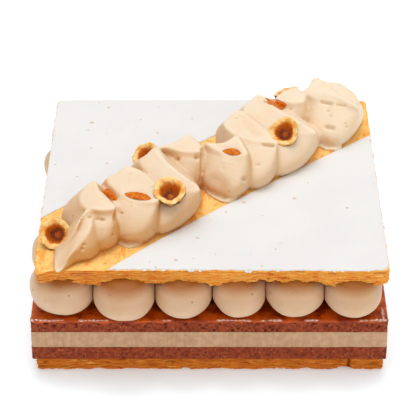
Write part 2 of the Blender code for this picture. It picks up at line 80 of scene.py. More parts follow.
# How far apart in the noise two leaves' wander, ragged ends, chips and holes are drawn.
WANDER_SEED = 3.7
RAGGED_SEED = 1.9
CHIPPED_SEED = 5.3
HOLE_SEED = 2.3
SIDE_STEP = 0.6 * MM
CAP_INSET = 1.0 * MM
CAP_STEP = 6.0 * MM
GRID_CLEARANCE = 0.45
WELD_DISTANCE = 1e-6
DOUGH_RELIEF = 0.35 * MM


def drift(x, y, length, seed):
    """Return a smooth random value from about -1 to 1 that changes over a length."""
    return noise.noise(Vector((x / length, y / length, seed)))


def walk_round(half, corner, step):
    """List places round a square with rounded corners, each with its outward direction."""
    flat = half - corner
    count = round(2 * flat / step)
    bend = max(3, math.ceil(corner * math.pi / 2 / step))
    places = []
    for quarter in range(4):
        turn = Matrix.Rotation(quarter * math.pi / 2, 2)
        for i in range(count):
            along = -flat + 2 * flat * i / count
            places.append((turn @ Vector((half, along)), turn @ Vector((1.0, 0.0))))
        for i in range(bend):
            angle = math.pi / 2 * i / bend
            out = Vector((math.cos(angle), math.sin(angle)))
            places.append((turn @ (Vector((flat, flat)) + out * corner), turn @ out))
    return places


def points_within(outline, step):
    """List the points of a square grid that lie inside an outline, well clear of it."""
    low = outline.min(axis=0)
    high = outline.max(axis=0)
    xs = np.arange(low[0] + step / 2, high[0], step)
    run = np.roll(outline, -1, axis=0) - outline
    length2 = (run ** 2).sum(axis=1)
    found = []
    for y in np.arange(low[1] + step / 2, high[1], step):
        above = outline[:, 1] > y
        edges = np.nonzero(above != np.roll(above, -1))[0]
        at = outline[edges, 0] + (y - outline[edges, 1]) / run[edges, 1] * run[edges, 0]
        inside = (at[None, :] > xs[:, None]).sum(axis=1) % 2 == 1
        row = np.stack([xs, np.full_like(xs, y)], axis=1)[inside]
        near = np.nonzero(np.abs(outline[:, 1] - y) < 2 * step)[0]
        if len(row) and len(near):
            offset = row[:, None, :] - outline[None, near, :]
            share = np.clip((offset * run[None, near]).sum(axis=2) / length2[near], 0, 1)
            gap = np.linalg.norm(offset - share[..., None] * run[None, near], axis=2).min(axis=1)
            row = row[gap > step * GRID_CLEARANCE]
        found.extend(row.tolist())
    return found


def fill_outline(outline, step):
    """Fill an outline with triangles. Return its inner points and the triangles."""
    scaled = np.asarray(outline)[:, :2] / MM
    inner = points_within(scaled, step / MM)
    points = [Vector(point) for point in scaled.tolist() + inner]
    loop = [list(range(len(scaled)))]
    _, _, faces, sources, _, _ = geometry.delaunay_2d_cdt(points, [], loop, 1, WELD_DISTANCE)
    home = [source[0] for source in sources]
    triangles = [[home[corner] for corner in face] for face in faces]
    return np.array(inner).reshape(-1, 2) * MM, triangles


def ring_faces(count, rings):
    """Return the faces between rings of points, each joined to the one after it."""
    around = np.arange(count)
    after = (around + 1) % count
    faces = []
    for ring in range(rings - 1):
        low = ring * count
        high = low + count
        faces.extend(np.stack([low + around, low + after, high + after, high + around], axis=1).tolist())
    return faces


def closed_sheet(rings, low_step, high_step, low_height=None, high_height=None):
    """Join rings of points from the underside to the top and fill both ends."""
    count = len(rings[0])
    verts = np.concatenate([np.asarray(ring, float) for ring in rings])
    faces = ring_faces(count, len(rings))
    ends = ((rings[0], 0, low_step, low_height, True),
            (rings[-1], len(verts) - count, high_step, high_height, False))
    for ring, first, step, height, flip in ends:
        inner, triangles = fill_outline(ring, step)
        level = float(np.mean(np.asarray(ring)[:, 2]))
        tall = [level if height is None else height(x, y) for x, y in inner]
        base = len(verts)
        verts = np.concatenate([verts, np.column_stack([inner, tall])])
        for triangle in triangles:
            face = [first + i if i < count else base + i - count for i in triangle]
            faces.append(face[::-1] if flip else face)
    return verts, faces


def set_out(name, mesh, material):
    """Give a mesh its material, smooth its shading and put it in the scene as a piece."""
    mesh.materials.clear()
    mesh.materials.append(material)
    mesh.shade_smooth()
    piece = bpy.data.objects.new(name, mesh)
    bpy.context.scene.collection.objects.link(piece)
    return piece


def new_piece(name, verts, faces, material, sharp_degrees):
    """Make a piece from points and faces, with its sharper edges kept."""
    mesh = bpy.data.meshes.new(name)
    mesh.from_pydata([tuple(vert) for vert in verts], [], faces)
    mesh.validate()
    piece = set_out(name, mesh, material)
    mesh.set_sharp_from_angle(angle=math.radians(sharp_degrees))
    return piece


def note_on_points(piece, name, values):
    """Keep one number for each point of a piece, for its material."""
    note = piece.data.attributes.new(name, "FLOAT", "POINT")
    note.data.foreach_set("value", np.asarray(values, np.float32))


def leaf_wander(place, boundary, leaves, seed):
    """Return how far the boundary under a leaf wanders at a place, as a share of a leaf."""
    if not 0 < boundary < leaves:
        return 0.0
    return LEAF_WANDER * drift(*place, LEAF_WANDER_LENGTH, seed + WANDER_SEED * boundary)


def leaf_end(place, leaf, groove, seed):
    """Return how deep the end of a leaf lies behind the side of the sheet at a place."""
    ragged = (0.5 + 0.5 * drift(*place, LEAF_RAGGED_LENGTH, seed + RAGGED_SEED * leaf)) * LEAF_RAGGED
    chipped = drift(*place, LEAF_CHIPPED_LENGTH, seed + CHIPPED_SEED * leaf) * LEAF_CHIPPED
    hole = max(0.0, drift(*place, HOLE_LENGTH, seed + HOLE_SEED * leaf + HOLE_FIRST_SEED) - HOLE_RARITY)
    return ragged + chipped + min(HOLE_DEPTH, hole * HOLE_STEEPNESS * HOLE_DEPTH) + groove * LEAF_GROOVE


def leaf_rings(places, centre, underside, top, leaves, seed, crack):
    """Return the rings of the leaves' ends and how deep each point lies."""
    rings = []
    depths = []
    for leaf in range(leaves):
        for rise, groove in LEAF_PROFILE:
            ring = []
            for place, outward in places:
                below = leaf_wander(place, leaf, leaves, seed)
                above = leaf_wander(place, leaf + 1, leaves, seed)
                level = leaf + below + (1.0 + above - below) * rise
                low = underside(*place)
                deep = leaf_end(place, leaf, groove, seed) + crack(*place)
                spot = centre + place - outward * deep
                ring.append((spot.x, spot.y, low + (top(*place) - low) * level / leaves))
                depths.append(deep)
            rings.append(ring)
    return rings, depths


def pastry_sheet(name, centre, half, corner, underside, top, leaves, seed, crack, material):
    """Make a sheet of puff pastry with its leaves showing all round."""
    places = walk_round(half, corner, SIDE_STEP)
    rings, depths = leaf_rings(places, centre, underside, top, leaves, seed, crack)
    flat_low = [(*(centre + place * (1 - 3 * CAP_INSET / half)), underside(0.0, 0.0)) for place, _ in places]
    edge_high = [(*(centre + place * (1 - CAP_INSET / half)), top(*(centre + place))) for place, _ in places]
    verts, faces = closed_sheet([flat_low, *rings, edge_high], CAP_STEP, CAP_STEP / 3, high_height=top)
    piece = new_piece(name, verts, faces, material, LEAF_SHARP_DEGREES)
    # Each point keeps how deep it lies, and the material paints deep recesses darker as painted shade.
    values = np.full(len(verts), LEAF_FLAT_DEPTH)
    first = len(places)
    values[first:first + len(depths)] = np.array(depths) / (LEAF_RAGGED + LEAF_GROOVE + HOLE_DEPTH)
    note_on_points(piece, "leaf_depth", values)
    return piece


def feed(tree, socket, value):
    """Give a socket a number, a colour or another node's output."""
    if isinstance(value, bpy.types.NodeSocket):
        tree.links.new(value, socket)
    else:
        socket.default_value = value


def add_node(tree, kind, settings=None, **values):
    """Add a shader node with its settings and what its inputs take."""
    made = tree.nodes.new("ShaderNode" + kind)
    for name, value in (settings or {}).items():
        setattr(made, name, value)
    for name, value in values.items():
        feed(tree, made.inputs[name.replace("_", " ")], value)
    return made


def mixed(tree, share, low, high, how="MIX"):
    """Mix two colours by a share and return the result."""
    made = add_node(tree, "Mix", {"data_type": "RGBA", "blend_type": how})
    for place, value in ((0, share), (6, low), (7, high)):
        feed(tree, made.inputs[place], value)
    return made.outputs[2]


def worked_out(tree, how, *terms):
    """Do one sum on values and return the result."""
    made = add_node(tree, "Math", {"operation": how})
    for place, value in enumerate(terms):
        feed(tree, made.inputs[place], value)
    return made.outputs[0]


def times(tree, *terms):
    """Multiply two values and return the result."""
    return worked_out(tree, "MULTIPLY", *terms)


def ramped(tree, value, low, high, to_low=0.0, to_high=1.0):
    """Map a value smoothly from one range to another and return the result."""
    made = add_node(tree, "MapRange", {"interpolation_type": "SMOOTHSTEP"}, Value=value,
                    From_Min=low, From_Max=high, To_Min=to_low, To_Max=to_high)
    return made.outputs[0]


def stretched(tree, across, upward):
    """Return the place on the piece in millimetres, stretched across and upward."""
    place = add_node(tree, "TexCoord").outputs["Object"]
    scale = (across / MM, across / MM, upward / MM)
    return add_node(tree, "Mapping", Vector=place, Scale=scale).outputs[0]


def waves(tree, across, upward, detail, roughness=0.5):
    """Return soft noise on a piece, with so many waves to the millimetre across and upward."""
    made = add_node(tree, "TexNoise", Vector=stretched(tree, across, upward), Scale=1.0, Detail=detail,
                    Roughness=roughness)
    return made.outputs[0]


def noted(tree, name):
    """Return the number that a piece keeps for each of its points."""
    return add_node(tree, "Attribute", {"attribute_name": name}).outputs["Fac"]


def new_group(name, takes, gives):
    """Start a shader node group with named inputs and outputs."""
    group = bpy.data.node_groups.new(name, "ShaderNodeTree")
    for socket, value in takes.items():
        kind = "NodeSocketColor" if isinstance(value, tuple) else "NodeSocketFloat"
        made = group.interface.new_socket(socket, in_out="INPUT", socket_type=kind)
        made.default_value = value
    for socket, kind in gives.items():
        group.interface.new_socket(socket, in_out="OUTPUT", socket_type="NodeSocket" + kind)
    inside = group.nodes.new("NodeGroupInput").outputs
    outside = group.nodes.new("NodeGroupOutput").inputs
    return group, inside, outside


def placed_group(tree, group, **values):
    """Place a node group in a material with its own values and return its outputs."""
    return add_node(tree, "Group", {"node_tree": group}, **values).outputs


def new_material(name, **values):
    """Return a material, its node tree and its shader, with the shader's own values set."""
    material = bpy.data.materials.new(name)
    material.use_nodes = True
    tree = material.node_tree
    shader = tree.nodes["Principled BSDF"]
    for socket, value in values.items():
        shader.inputs[socket.replace("_", " ")].default_value = value
    return material, tree, shader


def finish_surface(tree, shader, colour, roughness, height, relief):
    """Feed a shader its colour, its roughness and a bump of some depth in metres."""
    tree.links.new(colour, shader.inputs["Base Color"])
    tree.links.new(roughness, shader.inputs["Roughness"])
    bump = add_node(tree, "Bump", Height=height, Distance=relief, Strength=1.0)
    tree.links.new(bump.outputs[0], shader.inputs["Normal"])


# Baked dough shows two looks: pale to brown leaves at a cut side, and a blistered, toasted top.
baked_dough, taken, given = new_group(
    "baked_dough",
    {"Pale": (0.9, 0.6, 0.25, 1), "Gold": (0.8, 0.4, 0.1, 1), "Brown": (0.4, 0.12, 0.02, 1),
     "Depth": 0.3},
    {"Colour": "Color", "Roughness": "Float", "Height": "Float"})
tree = baked_dough
leaves = waves(tree, 0.16, 2.6, 4.0, 0.6)
blisters = waves(tree, 0.22, 0.22, 5.0, 0.62)
rubs = waves(tree, 0.06, 0.06, 3.0)
streak_place = add_node(tree, "Mapping", Vector=stretched(tree, 0.22, 0.22), Rotation=(0.0, 0.0, 0.9),
                        Scale=(1.3, 0.35, 1.0))
streaks = add_node(tree, "TexNoise", Vector=streak_place.outputs[0], Scale=1.0, Detail=2.5).outputs[0]
facing = add_node(tree, "NewGeometry").outputs["Normal"]
up = add_node(tree, "SeparateXYZ", Vector=facing).outputs["Z"]
on_top = ramped(tree, up, 0.75, 0.95)
side = mixed(tree, ramped(tree, leaves, 0.42, 0.62), taken["Gold"], taken["Pale"])
side = mixed(tree, ramped(tree, leaves, 0.43, 0.29), side, taken["Brown"])
# Deep recesses at a cut side are mixed towards brown: painted shade.
side = mixed(tree, ramped(tree, taken["Depth"], 0.32, 0.9), side, taken["Brown"])
side = mixed(tree, 1.0, side, (1.0, 0.93, 0.62, 1), "MULTIPLY")
top = mixed(tree, ramped(tree, blisters, 0.3, 0.45), taken["Gold"], taken["Pale"])
drawn = times(tree, ramped(tree, streaks, 0.47, 0.58), ramped(tree, rubs, 0.36, 0.58))
top = mixed(tree, times(tree, drawn, 0.85), top, taken["Gold"])
tree.links.new(mixed(tree, on_top, side, top), given["Colour"])
tree.links.new(ramped(tree, blisters, 0.3, 0.7, 0.75, 0.55), given["Roughness"])
tree.links.new(mixed(tree, on_top, leaves, blisters), given["Height"])


def pastry_material(name, pale, gold, brown):
    """Return baked puff pastry of some shades."""
    material, tree, shader = new_material(name, Subsurface_Weight=0.08, Subsurface_Scale=0.0015,
                                          Specular_IOR_Level=0.3)
    look = placed_group(tree, baked_dough, Pale=pale, Gold=gold, Brown=brown, Depth=noted(tree, "leaf_depth"))
    finish_surface(tree, shader, look["Colour"], look["Roughness"], look["Height"], DOUGH_RELIEF)
    return material


def base_underside(x, y):
    """Return how high the crumbled lower edge of the base is at a place."""
    if max(abs(x), abs(y)) <= BASE_HALF - BASE_CRUMBLE_REACH:
        return 0.0
    return max(0.0, drift(x, y, BASE_CRUMBLE_LENGTH, BASE_CRUMBLE_SEED)) * BASE_CRUMBLE


def base_crack(x, y):
    """Return how deep the crack in the front of the base is at a place."""
    if y > 0:
        return 0.0
    return BASE_CRACK_DEPTH * math.exp(-((x - BASE_CRACK_X) / BASE_CRACK_WIDTH) ** 2)


base_pastry = pastry_material("base_pastry", (0.80, 0.31, 0.035, 1), (0.57, 0.13, 0.004, 1),
                              (0.27, 0.045, 0.003, 1))
piece = pastry_sheet("puff_pastry_base", BASE_CENTRE, BASE_HALF, BASE_CORNER, base_underside,
                     lambda x, y: BASE_TOP, BASE_LEAVES, BASE_SEED, base_crack, base_pastry)
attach(piece, "root")
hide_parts("pastry_base")


# Praline layers
# Two layers of crisp praline with crushed nut and wafer in it, pressed flat and cut with the
# block. The knife has torn small pits in the upper one. Both are soft at the cut.

BLOCK_HALF = 90.1 * MM
PRALINE_LOWER_TOP = 15.3 * MM
MIDDLE_CREAM_TOP = 24.5 * MM
PRALINE_UPPER_TOP = 30.7 * MM
LAYER_SPREAD = 0.4 * MM
LAYER_CORNER = 0.8 * MM
LAYER_WANDER = 0.22 * MM
LAYER_WANDER_LENGTH = 11.0 * MM
LAYER_CAP_INSET = 3.0 * MM
LAYER_CAP_STEP = 3 * CAP_STEP
LAYER_SHARP_DEGREES = 70.0
PRALINE_ROWS = 11
PRALINE_CRUMB = 0.12 * MM
CRUMB_LENGTH = 1.5 * MM
PIT_LENGTH = 1.25 * MM
PIT_RARITY = 0.32
PIT_STEEPNESS = 5
PRALINE_RELIEF = 0.5 * MM


def boundary(x, y, level, seed):
    """Return the height of the boundary between two layers, which wanders a little."""
    return level + drift(x, y, LAYER_WANDER_LENGTH, seed) * LAYER_WANDER


def crumb_relief(place, seed, crumb, pit):
    """Return how far crumbs and pits move a cut face outward."""
    rough = noise.noise(place / CRUMB_LENGTH + Vector((seed, 0, 0))) * crumb
    hole = max(0.0, noise.noise(place / PIT_LENGTH + Vector((0, seed, 5))) - PIT_RARITY)
    return rough - min(pit, hole * PIT_STEEPNESS * pit)


def pressed_layer(name, bottom, top, low_seed, high_seed, rows, crumb, pit, material):
    """Make one layer of the block between two boundaries."""
    places = walk_round(BLOCK_HALF, LAYER_CORNER, SIDE_STEP)
    spread = LAYER_SPREAD * (1 - (bottom + top) / 2 / PRALINE_UPPER_TOP)
    rings = []
    hollows = []
    for row in range(rows + 1):
        ring = []
        for place, outward in places:
            low = boundary(*place, bottom, low_seed)
            high = boundary(*place, top, high_seed)
            z = low + (high - low) * row / rows
            moved = crumb_relief(Vector((*place, z)), low_seed, crumb, pit)
            spot = place + outward * (spread + moved)
            ring.append((spot.x, spot.y, z))
            hollows.append(max(0.0, -moved) / (crumb + pit))
        rings.append(ring)
    inner = 1 - LAYER_CAP_INSET / BLOCK_HALF
    caps = [[(place.x * inner, place.y * inner, level) for place, _ in places] for level in (bottom, top)]
    verts, faces = closed_sheet([caps[0], *rings, caps[1]], LAYER_CAP_STEP, LAYER_CAP_STEP)
    piece = new_piece(name, verts, faces, material, LAYER_SHARP_DEGREES)
    values = np.zeros(len(verts))
    values[len(places):len(places) + len(hollows)] = hollows
    note_on_points(piece, "hollow", values)
    return piece


# Specks and pits are scattered: one in some share of evenly spread cells, each of random size.
scattered_specks, taken, given = new_group(
    "scattered_specks",
    {"Spacing": 3.0, "Size": 0.5, "Share": 0.5, "Shift": 0.0},
    {"Mask": "Float", "Tone": "Float"})
tree = scattered_specks
spread_out = add_node(tree, "VectorMath", {"operation": "SCALE"}, Vector=stretched(tree, 1.0, 1.0))
tree.links.new(worked_out(tree, "DIVIDE", 1.0, taken["Spacing"]), spread_out.inputs["Scale"])
shifted = add_node(tree, "VectorMath", {"operation": "ADD"}, Vector=spread_out.outputs[0])
tree.links.new(taken["Shift"], shifted.inputs[1])
cells = add_node(tree, "TexVoronoi", Vector=shifted.outputs[0], Scale=1.0)
tone = add_node(tree, "SeparateColor", Color=cells.outputs["Color"]).outputs
chosen = worked_out(tree, "LESS_THAN", tone[0], taken["Share"])
radius = worked_out(tree, "DIVIDE", taken["Size"], taken["Spacing"])
radius = times(tree, radius, ramped(tree, tone[1], 0.0, 1.0, 0.5, 1.2))
near = worked_out(tree, "DIVIDE", cells.outputs["Distance"], radius)
tree.links.new(times(tree, ramped(tree, near, 1.0, 0.55), chosen), given["Mask"])
tree.links.new(tone[2], given["Tone"])


def specks(tree, spacing, size, share, shift):
    """Scatter specks over a piece. Return their mask and the tone of each."""
    return placed_group(tree, scattered_specks, Spacing=spacing, Size=size, Share=share, Shift=shift)


def stained(tree, colour, mask, strength, stain):
    """Lay a stain over a colour where a mask shows it, and return the result."""
    return mixed(tree, times(tree, mask, strength), colour, stain)


def praline_material():
    """Return praline cut with a knife: red-brown paste with dark bran, pale nut, and pits darkened with
    painted shade.
    """
    material, tree, shader = new_material("cut_praline", Specular_IOR_Level=0.2)
    mottle = waves(tree, 0.55, 0.55, 5.0, 0.65)
    colour = mixed(tree, ramped(tree, mottle, 0.35, 0.65), (0.21, 0.026, 0.005, 1), (0.35, 0.06, 0.013, 1))
    bran = specks(tree, 1.7, 0.55, 0.5, 0.0)["Mask"]
    nut = specks(tree, 1.5, 0.4, 0.22, 7.0)["Mask"]
    colour = stained(tree, colour, bran, 0.75, (0.11, 0.018, 0.008, 1))
    colour = stained(tree, colour, nut, 0.55, (0.60, 0.25, 0.10, 1))
    # The torn pits are painted dark: painted shade.
    pit_shade = ramped(tree, noted(tree, "hollow"), 0.15, 0.7)
    colour = mixed(tree, pit_shade, colour, (0.085, 0.014, 0.006, 1))
    height = worked_out(tree, "SUBTRACT", mottle, times(tree, bran, 0.6))
    finish_surface(tree, shader, colour, ramped(tree, mottle, 0.3, 0.7, 0.7, 0.45), height, PRALINE_RELIEF)
    return material


cut_praline = praline_material()
for name, node, bottom, top, low_seed, high_seed, pit in (
        ("praline_layer_lower", "praline_lower", BASE_TOP, PRALINE_LOWER_TOP, 1.0, 2.0, 0.25 * MM),
        ("praline_layer_upper", "praline_upper", MIDDLE_CREAM_TOP, PRALINE_UPPER_TOP, 3.0, 4.0, 1.3 * MM)):
    piece = pressed_layer(name, bottom, top, low_seed, high_seed, PRALINE_ROWS, PRALINE_CRUMB, pit,
                          cut_praline)
    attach(piece, "root")
    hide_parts(node)


# Middle cream
# A slab of firm nut cream set between the praline layers. The knife has drawn faint upright
# streaks down its cut face and left fine specks of nut skin in it.

CREAM_ROWS = 10
CREAM_PIT = 0.1 * MM
CREAM_RELIEF = 0.3 * MM
KNIFE_STREAK = 0.05 * MM


def middle_cream_material():
    """Return firm nut cream with the streaks of the knife."""
    material, tree, shader = new_material("cut_cream", Subsurface_Weight=0.1, Subsurface_Scale=0.002,
                                          Specular_IOR_Level=0.3)
    streaks = waves(tree, 0.6, 0.06, 4.0, 0.6)
    patches = waves(tree, 0.06, 0.06, 2.0)
    mottle = waves(tree, 0.3, 0.3, 4.0)
    drawn = times(tree, ramped(tree, streaks, 0.4, 0.62), ramped(tree, patches, 0.38, 0.6))
    colour = mixed(tree, ramped(tree, mottle, 0.35, 0.65), (0.51, 0.30, 0.165, 1), (0.60, 0.37, 0.215, 1))
    colour = stained(tree, colour, drawn, 0.4, (0.40, 0.22, 0.10, 1))
    skin = specks(tree, 4.2, 0.5, 0.3, 3.0)["Mask"]
    colour = stained(tree, colour, skin, 0.8, (0.14, 0.06, 0.03, 1))
    height = worked_out(tree, "ADD", streaks, times(tree, mottle, 0.2))
    finish_surface(tree, shader, colour, ramped(tree, mottle, 0.3, 0.7, 0.6, 0.48), height, CREAM_RELIEF)
    return material


piece = pressed_layer("nut_cream_layer", PRALINE_LOWER_TOP, MIDDLE_CREAM_TOP, 2.0, 3.0, CREAM_ROWS,
                      KNIFE_STREAK, CREAM_PIT, middle_cream_material())
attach(piece, "root")
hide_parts("middle_cream")


# Caramel glaze
# Soft caramel brushed warm over the block. It has set as a thin shiny skin with small lumps and
# a rounded edge that has run down over the praline in places. Wet beads stand on its front edge.

GLAZE_TOP = 31.8 * MM
GLAZE_OVERLAP = 0.3 * MM
GLAZE_RUN = 1.9 * MM
GLAZE_RUN_LENGTH = 7.0 * MM
GLAZE_RUN_SHARE = 0.1
GLAZE_LUMP = 0.22 * MM
GLAZE_LUMP_LENGTH = 5.0 * MM
GLAZE_STEP = 1.6 * MM
# The glaze's edge from its foot up: how far up, and how far it bulges out in millimetres.
GLAZE_EDGE = ((0.0, -0.05), (0.2, 0.25), (0.45, 0.35), (0.66, 0.18), (0.82, -0.22), (0.93, -0.8),
              (1.0, -2.0))
GLAZE_UNDER_INSET = 0.97
GLAZE_UNDER_DROP = 0.5 * MM
GLAZE_SHARP_DEGREES = 80.0
GLAZE_RELIEF = 0.4 * MM
BIT_SHARP_DEGREES = 60.0
BIT_DEPTH = 0.1
# Where each run of beads starts and ends along the front, and how far apart and large they are.
BEAD_RUNS = ((-89.0, -84.8), (-82.6, -74.1), (-64.5, -51.4), (-22.8, -19.5), (4.9, 21.5), (27.0, 29.0),
             (31.0, 36.6), (49.7, 55.2), (76.8, 79.9), (81.9, 88.6))
BEAD_PITCH = 2.1
BEAD_SIZE = (1.4, 0.8, 0.5)
BEAD_OUT = 89.9
BEAD_SINK = 0.05
# A short run of beads turns the front right corner: how far right it is, and where it lies.
BEAD_RIGHT = 87.6
BEAD_RIGHT_RUN = (-88.0, -78.0)


def glaze_height(x, y):
    """Return the height of the glaze's top at a place."""
    lump = drift(x, y, GLAZE_LUMP_LENGTH, 3.0) + 0.5 * drift(x, y, 2 * MM, 6.0)
    return GLAZE_TOP + lump * GLAZE_LUMP


def scattered_bits(name, bits, material, fineness=2, rough_share=0.4):
    """Make one mesh of many small bits: each a place, a size, a turn and a tilt, in millimetres."""
    verts, faces = [], []
    lump = bmesh.new()
    bmesh.ops.create_icosphere(lump, subdivisions=fineness, radius=1.0)
    for number, (place, size, turn, tilt) in enumerate(bits):
        pose = Matrix.Rotation(turn, 3, "Z") @ Matrix.Rotation(tilt, 3, "X")
        for vert in lump.verts:
            rough = 1.0 + rough_share * noise.noise(vert.co * 1.7 + Vector((number * 2.7, 0.0, number)))
            shape = Vector([part * reach * rough for part, reach in zip(vert.co, size)])
            verts.append((Vector(place) + pose @ shape) * MM)
        first = number * len(lump.verts)
        faces.extend([first + vert.index for vert in face.verts] for face in lump.faces)
    lump.free()
    piece = new_piece(name, verts, faces, material, BIT_SHARP_DEGREES)
    note_on_points(piece, "leaf_depth", np.full(len(verts), BIT_DEPTH))
    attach(piece, "root")
    return piece


def varied(size, dice, least=0.6, most=1.4):
    """Return a size that is larger or smaller at random."""
    share = dice.uniform(least, most)
    return [reach * share * dice.uniform(0.8, 1.25) for reach in size]


def caramel_material():
    """Return shiny caramel: dark where it is thick, redder and clearer where thin."""
    material, tree, shader = new_material("shiny_caramel", Specular_IOR_Level=0.22, Coat_Weight=0.12,
                                          Coat_Roughness=0.04)
    thick = waves(tree, 0.12, 0.12, 4.0)
    fine = waves(tree, 0.8, 0.8, 3.0)
    colour = mixed(tree, ramped(tree, thick, 0.35, 0.65), (0.62, 0.10, 0.002, 1), (0.27, 0.024, 0.001, 1))
    grain = specks(tree, 2.2, 0.5, 0.35, 5.0)["Mask"]
    colour = stained(tree, colour, grain, 0.6, (0.08, 0.012, 0.004, 1))
    finish_surface(tree, shader, colour, ramped(tree, fine, 0.3, 0.7, 0.08, 0.2), fine, GLAZE_RELIEF)
    return material


places = [place for place, _ in walk_round(BLOCK_HALF, LAYER_CORNER, SIDE_STEP)]
rings = [[(*(place * GLAZE_UNDER_INSET), PRALINE_UPPER_TOP - GLAZE_UNDER_DROP) for place in places]]
for share, out in GLAZE_EDGE:
    ring = []
    for place in places:
        run = max(0.0, drift(*place, GLAZE_RUN_LENGTH, 8.0) + GLAZE_RUN_SHARE) * GLAZE_RUN
        bottom = PRALINE_UPPER_TOP - GLAZE_OVERLAP - run
        bulge = out * (0.7 + 0.6 * drift(*place, 3 * MM, 2.0)) * MM
        spot = place * (1.0 + bulge / BLOCK_HALF)
        ring.append((spot.x, spot.y, bottom + (glaze_height(*place) - bottom) * share))
    rings.append(ring)
verts, faces = closed_sheet(rings, LAYER_CAP_STEP, GLAZE_STEP, high_height=glaze_height)
piece = new_piece("caramel_skin", verts, faces, caramel_material(), GLAZE_SHARP_DEGREES)
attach(piece, "root")
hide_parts("caramel_glaze")

dice = random.Random(8)
bits = []
for start, end in BEAD_RUNS:
    for x in np.arange(start, end, BEAD_PITCH):
        place = (x, -BEAD_OUT + dice.uniform(-0.2, 0.3), GLAZE_TOP / MM - BEAD_SINK)
        bits.append((place, varied(BEAD_SIZE, dice, 0.8, 1.2), dice.uniform(-0.12, 0.12), 0.0))
for y in np.arange(*BEAD_RIGHT_RUN, BEAD_PITCH):
    bits.append(((BEAD_RIGHT, y, GLAZE_TOP / MM), varied(BEAD_SIZE, dice), math.pi / 2, 0.0))
wet_caramel, _, _ = new_material("wet_caramel", Base_Color=(0.50, 0.10, 0.01, 1), Roughness=0.12, IOR=2.3,
                                 Specular_IOR_Level=1.0)
scattered_bits("caramel_beads", bits, wet_caramel, 3, 0.12)


# Piped balls
# Six rows of six balls of nut cream, piped side by side with a round nozzle and then pressed
# a little by the lid. Neighbours touch along soft creases. The inner ones never show.

BALL_MEETINGS = (-89.9, -58.4, -27.4, 1.6, 28.4, 58.0, 87.6)
BALL_FRONTS = (93.6, 100.8, 97.2, 96.0, 95.8, 97.2)
BALL_LEFTS = (90.8, 92.3, 89.6, 89.6, 92.5, 90.2)
BALL_BACK = 91.0
BALL_ROW_PITCH = 30.2
BALL_ROWS = 6
BALL_COLUMNS = 6
BALL_BOTTOM = 31.7
BALL_TOP = 54.6
BALL_OVERFILL = 1.07
BALL_CREASE = 0.95
BALL_PLAN_POWER = 2.1
BALL_UPPER_POWER = 2.4
BALL_LOWER_POWER = 2.25
BALL_UNEVEN = 0.04
BALL_UNEVEN_WAVES = 1.3
BALL_RIPPLE = 0.006
BALL_RIPPLE_WAVES = 5.0
BALL_SEED_STEPS = (3.1, 1.7)
BALL_SEGMENTS = 80
BALL_RINGS = 52
# Painted shade: the cream darkens from one height to another under the lid, and a little all the way up to it
# from the bottom.
# The painted shade is fainter within some reach of the left side, where light comes in.
BALL_SHADE_FROM = 46.0
BALL_SHADE_TO = 52.5
BALL_SHADE_POWER = 1.6
BALL_SHADE_REACH = 12.0
BALL_SHADE_LEAST = 0.1
BALL_RISING_SHADE = 0.16
BALL_RELIEF = 0.32 * MM


def signed_power(value, power):
    """Raise a number to a power and keep its sign."""
    return math.copysign(abs(value) ** power, value)


def ball_reach(row, column):
    """Return a ball's centre and how far it reaches each way, with whether it is pressed there."""
    half_pitch = BALL_ROW_PITCH / 2
    half_width = (BALL_MEETINGS[column + 1] - BALL_MEETINGS[column]) / 2
    half_height = (BALL_TOP - BALL_BOTTOM) / 2
    centre = Vector((BALL_MEETINGS[column] + half_width, (row - (BALL_ROWS - 1) / 2) * BALL_ROW_PITCH,
                     BALL_BOTTOM + half_height))
    left = (half_width, True) if column else (BALL_LEFTS[row] + centre.x, False)
    right = (half_width, column < BALL_COLUMNS - 1)
    front = (half_pitch, True) if row else (BALL_FRONTS[column] + centre.y, False)
    back = (half_pitch, True) if row < BALL_ROWS - 1 else (BALL_BACK - centre.y, False)
    level = (half_height, True)
    return centre, (left, front, level), (right, back, level)


def soft_limit(value, reach):
    """Press a value against a neighbour, with a rounded crease."""
    near = value / reach
    if near < BALL_CREASE:
        return value
    room = 1.0 - BALL_CREASE
    return reach * (BALL_CREASE + room * math.tanh((near - BALL_CREASE) / room))


def plump_place(place, seed):
    """Turn a place on a round ball of size one into one on a squarer, uneven ball."""
    level = min(1.0, place.xy.length)
    power = BALL_UPPER_POWER if place.z > 0 else BALL_LOWER_POWER
    out = signed_power(level, 2 / power)
    plan = place.xy / max(level, 1e-6)
    shape = Vector((*(signed_power(side, 2 / BALL_PLAN_POWER) * out for side in plan),
                    signed_power(place.z, 2 / power)))
    wave = noise.noise(shape * BALL_UNEVEN_WAVES + Vector((seed, 0.0, seed)))
    ripple = noise.noise(shape * BALL_RIPPLE_WAVES + Vector((0.0, seed, seed)))
    return shape * (1.0 + BALL_UNEVEN * wave + BALL_RIPPLE * ripple)


def read_rows(items, name, width, kind=float):
    """Return a property of a mesh's points or edges as rows of numbers."""
    values = np.empty(len(items) * width, kind)
    items.foreach_get(name, values)
    return values.reshape(-1, width)


